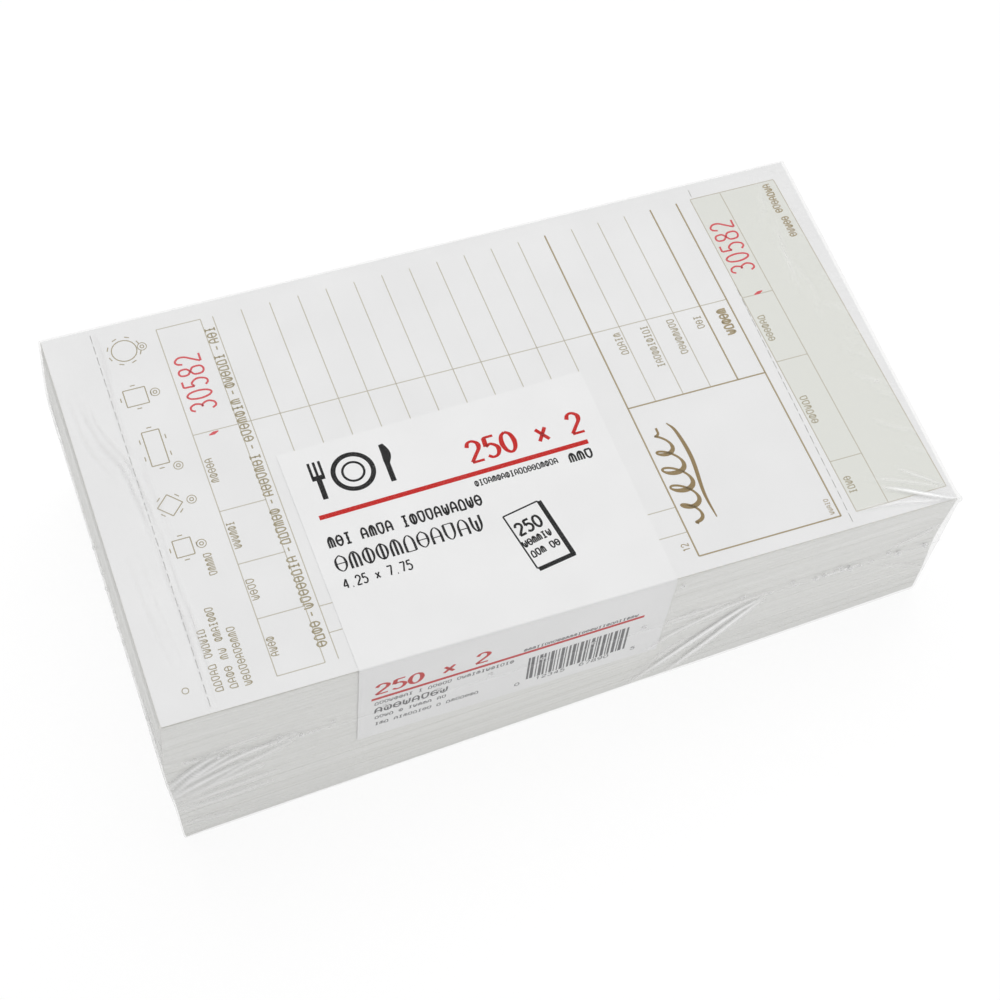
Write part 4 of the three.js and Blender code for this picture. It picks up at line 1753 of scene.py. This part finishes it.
    def seam_path(self, count: int = 900) -> tuple[Array, Array]:
        """Points along the seam round the straight box, and the direction outwards at each."""
        x, y = self.half
        corners = np.array([(x, y), (x, -y), (-x, -y), (-x, y)])
        lengths = np.linalg.norm(np.diff(corners, axis=0), axis=1)
        at = np.linspace(0, lengths.sum(), count)
        ends = np.concatenate([[0], np.cumsum(lengths)])
        side = np.clip(np.searchsorted(ends, at, side="right") - 1, 0, 2)
        share = (at - ends[side]) / lengths[side]
        flat = corners[side] + (corners[side + 1] - corners[side]) * share[:, None]
        level = np.full((count, 1), self.seam_level)
        box = np.hstack([flat, level])
        return self.rounded(box)

    def blobs_along(self, centre: Array, walk: Array) -> Array:
        """The size of the weld's blobs: a bell at each blob of the front, and fainter ones all round.

        Args:
            centre: the points of the seam.
            walk: the share of its length at each.

        Returns:
            The size at each point.
        """
        random = np.random.default_rng(self.seed + 1)
        along = centre[:, 0] + self.pile.length / 2
        on_front = self.on_front(centre)
        blobs = np.zeros(len(centre))
        for place, size in self.seam_blobs:
            blobs += size * np.exp(-(((along - place * MM) / (0.45 * MM)) ** 2)) * on_front
        for place in random.uniform(0, 1, 70):
            faint = random.uniform(0.2, 0.8) * np.exp(-(((walk - place) / 0.0016) ** 2))
            blobs = np.maximum(blobs, faint * np.where(on_front, 0.3, 1.0))
        return blobs

    def weld(self) -> bpy.types.Object:
        """The weld: a thin bead whose thickness comes and goes in small blobs."""
        centre, outwards = self.seam_path()
        walk = np.linspace(0, 1, len(centre))
        blobs = self.blobs_along(centre, walk)
        ends = np.clip(np.minimum(walk, 1 - walk) / 0.05, 0.1, 1)
        radius = (0.07 + 0.42 * blobs + 0.02 * np.sin(walk * 900)) * MM * ends
        lift = (0.2 + 0.1 * np.sin(walk * 260)) * MM
        waver = 0.25 * MM * np.sin(walk * 173) * np.sin(walk * 61)
        corners = 8
        angle = np.linspace(0, 2 * np.pi, corners, endpoint=False)
        out = lift[:, None] + radius[:, None] * np.cos(angle)
        rings = centre[:, None] + outwards[:, None] * out[..., None]
        rings[..., 2] += waver[:, None] + radius[:, None] * np.sin(angle)
        points = self.to_wedge(rings.reshape(-1, 3))
        quads = grid_quads(len(centre), corners, close_columns=True)
        caps = np.array([[i, i + 1, corners - 2 - i, corners - 1 - i] for i in range(corners // 2 - 1)])
        last = corners * (len(centre) - 1)
        draft = Draft()
        draft.add(points, np.vstack([quads, caps[:, ::-1], caps + last]))
        made = draft.build("film_weld", smooth=True)
        store(made, "crease", np.repeat(np.clip(0.15 + 0.8 * blobs, 0, 0.95), corners))
        store(made, "shadow", np.zeros(len(points)))
        return made

    def vents(self) -> bpy.types.Object:
        """The small melted vents of the front: flat rings of film, over the seam and one by the label."""
        draft = Draft()
        turn = np.linspace(0, 2 * np.pi, 20, endpoint=False)
        section = np.linspace(0, 2 * np.pi, 6, endpoint=False)
        count = int((self.pile.length - self.vent_pitch) // self.vent_pitch)
        reach = (count - 1) * self.vent_pitch / 2
        places = [(along, self.seam_level + self.vent_rise) for along in np.linspace(-reach, reach, count)]
        single = self.front_line(self.single_vent)[0]
        places.append((single[0] * MM, single[2] * MM))
        for along, level in places:
            out = self.vent_radius + self.vent_lip * np.cos(section)
            x = along + np.cos(turn)[:, None] * out
            z = level + np.sin(turn)[:, None] * out
            y = -self.half[1] - 0.05 * MM - self.vent_lip * np.sin(section)[None] + 0 * x
            ring = np.stack([x, y, z], axis=-1)
            draft.add_loop(self.to_wedge(ring.reshape(-1, 3)).reshape(ring.shape))
        made = draft.build("film_vents", smooth=True)
        store(made, "crease", np.full(len(made.data.vertices), 0.9))
        store(made, "shadow", np.zeros(len(made.data.vertices)))
        return made


# The studio


@dataclass
class Studio:
    """The floor, the light and the camera.

    Attributes:
        lens: the camera's focal length, in millimetres.
        shift: the shift of its picture, as shares of the picture's width.
        camera_place: where it stands, in millimetres.
        camera_turn: how it is turned about x, y and z, in degrees.
        sky: the strength of the sky's light.
        floor_grey: how much light the floor sends back.
        floor_glow: how bright the white is that the camera sees.
        floor_white: the share of that white where the floor is seen, and elsewhere.
        key_power: the power of the large light, in watts.
        front_power: the power of the weak one.
    """

    lens: float = 81.31
    shift: tuple[float, float] = (-0.0398, 0.0218)
    camera_place: tuple[float, float, float] = (-78.18, -274.04, 528.08)
    camera_turn: tuple[float, float, float] = (28.5748, 0.7968, -20.2141)
    sky: float = 0.68
    floor_grey: float = 0.82
    floor_glow: float = 1.07
    floor_white: tuple[float, float] = (0.82, 0.34)
    key_power: float = 10.8
    front_power: float = 0.4

    def build(self) -> None:
        """Sets up everything that isn't the object."""
        self.floor()
        self.world()
        self.lamps()
        self.camera()
        bpy.context.scene.view_settings.view_transform = "Standard"

    def floor(self) -> None:
        """A wide pale floor that looks white and keeps a faint shadow."""
        reach = 4.0
        corners = np.array([(-1, -1), (1, -1), (1, 1), (-1, 1)]) * reach
        points = np.hstack([corners, np.full((4, 1), -0.0002)])
        floor = mesh_object("floor", points, np.array([[0, 1, 2, 3]]), False)
        graph = Graph("floor_paint")
        rays = graph.node("ShaderNodeLightPath")
        seen = rays.field("Is Camera Ray") + rays.field("Is Glossy Ray") + rays.field("Is Transmission Ray")
        paint = graph.node("ShaderNodeBsdfDiffuse", {}, {"Color": (*[self.floor_grey] * 3, 1)})
        white = graph.node("ShaderNodeEmission", {}, {"Color": (1, 1, 1, 1), "Strength": self.floor_glow})
        most, least = self.floor_white
        share = seen.clamped() * (most - least) + least
        mixed = graph.node("ShaderNodeMixShader", {}, {0: share, 1: paint, 2: white})
        floor.data.materials.append(graph.finish(mixed))

    def world(self) -> None:
        """An even pale sky that looks white to the camera."""
        world = bpy.data.worlds.new("sky")
        bpy.context.scene.world = world
        world.use_nodes = True
        tree = world.node_tree
        tree.nodes.clear()
        rays = tree.nodes.new("ShaderNodeLightPath")
        behind = tree.nodes.new("ShaderNodeBackground")
        behind.inputs["Color"].default_value = (1, 1, 1, 1)
        behind.inputs["Strength"].default_value = 1.0
        light = tree.nodes.new("ShaderNodeBackground")
        light.inputs["Strength"].default_value = self.sky
        mixed = tree.nodes.new("ShaderNodeMixShader")
        out = tree.nodes.new("ShaderNodeOutputWorld")
        tree.links.new(rays.outputs["Is Camera Ray"], mixed.inputs[0])
        tree.links.new(light.outputs[0], mixed.inputs[1])
        tree.links.new(behind.outputs[0], mixed.inputs[2])
        tree.links.new(mixed.outputs[0], out.inputs[0])

    def lamps(self) -> None:
        """A large soft light from above and behind, and a weak one that fills the front."""
        self.lamp("key", (0.25, 0.5, 1.5), 1.3, self.key_power)
        self.lamp("front", (0.42, -0.5, 0.1), 0.3, self.front_power)

    @staticmethod
    def lamp(name: str, place: tuple[float, float, float], size: float, power: float) -> None:
        """A square light that looks at the pack."""
        data = bpy.data.lights.new(name, "AREA")
        data.size = size
        data.energy = power
        lamp = bpy.data.objects.new(name, data)
        bpy.context.scene.collection.objects.link(lamp)
        lamp.location = place
        lamp.rotation_euler = (-Vector(place)).to_track_quat("-Z", "Y").to_euler()

    def camera(self) -> None:
        """The camera, at the place from which the pack is seen."""
        data = bpy.data.cameras.new("camera")
        data.lens = self.lens
        data.shift_x, data.shift_y = self.shift
        camera = bpy.data.objects.new("camera", data)
        bpy.context.scene.collection.objects.link(camera)
        camera.location = Vector(self.camera_place) * MM
        camera.rotation_euler = Euler([math.radians(a) for a in self.camera_turn], "XYZ")
        bpy.context.scene.camera = camera


def main() -> None:
    """Builds the pack in order."""
    logging.basicConfig(level=logging.INFO, format="%(message)s")
    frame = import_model()
    pile = Pile()
    Studio().build()
    makers = [CheckPile(pile, frame), CheckForm(pile), LabelPrint(Slip(pile), frame), ShrinkFilm(pile)]
    for maker in makers:
        for piece in maker.build():
            log.info("%s: %d faces", piece.name, len(piece.data.polygons))


if __name__ == "__main__":
    main()
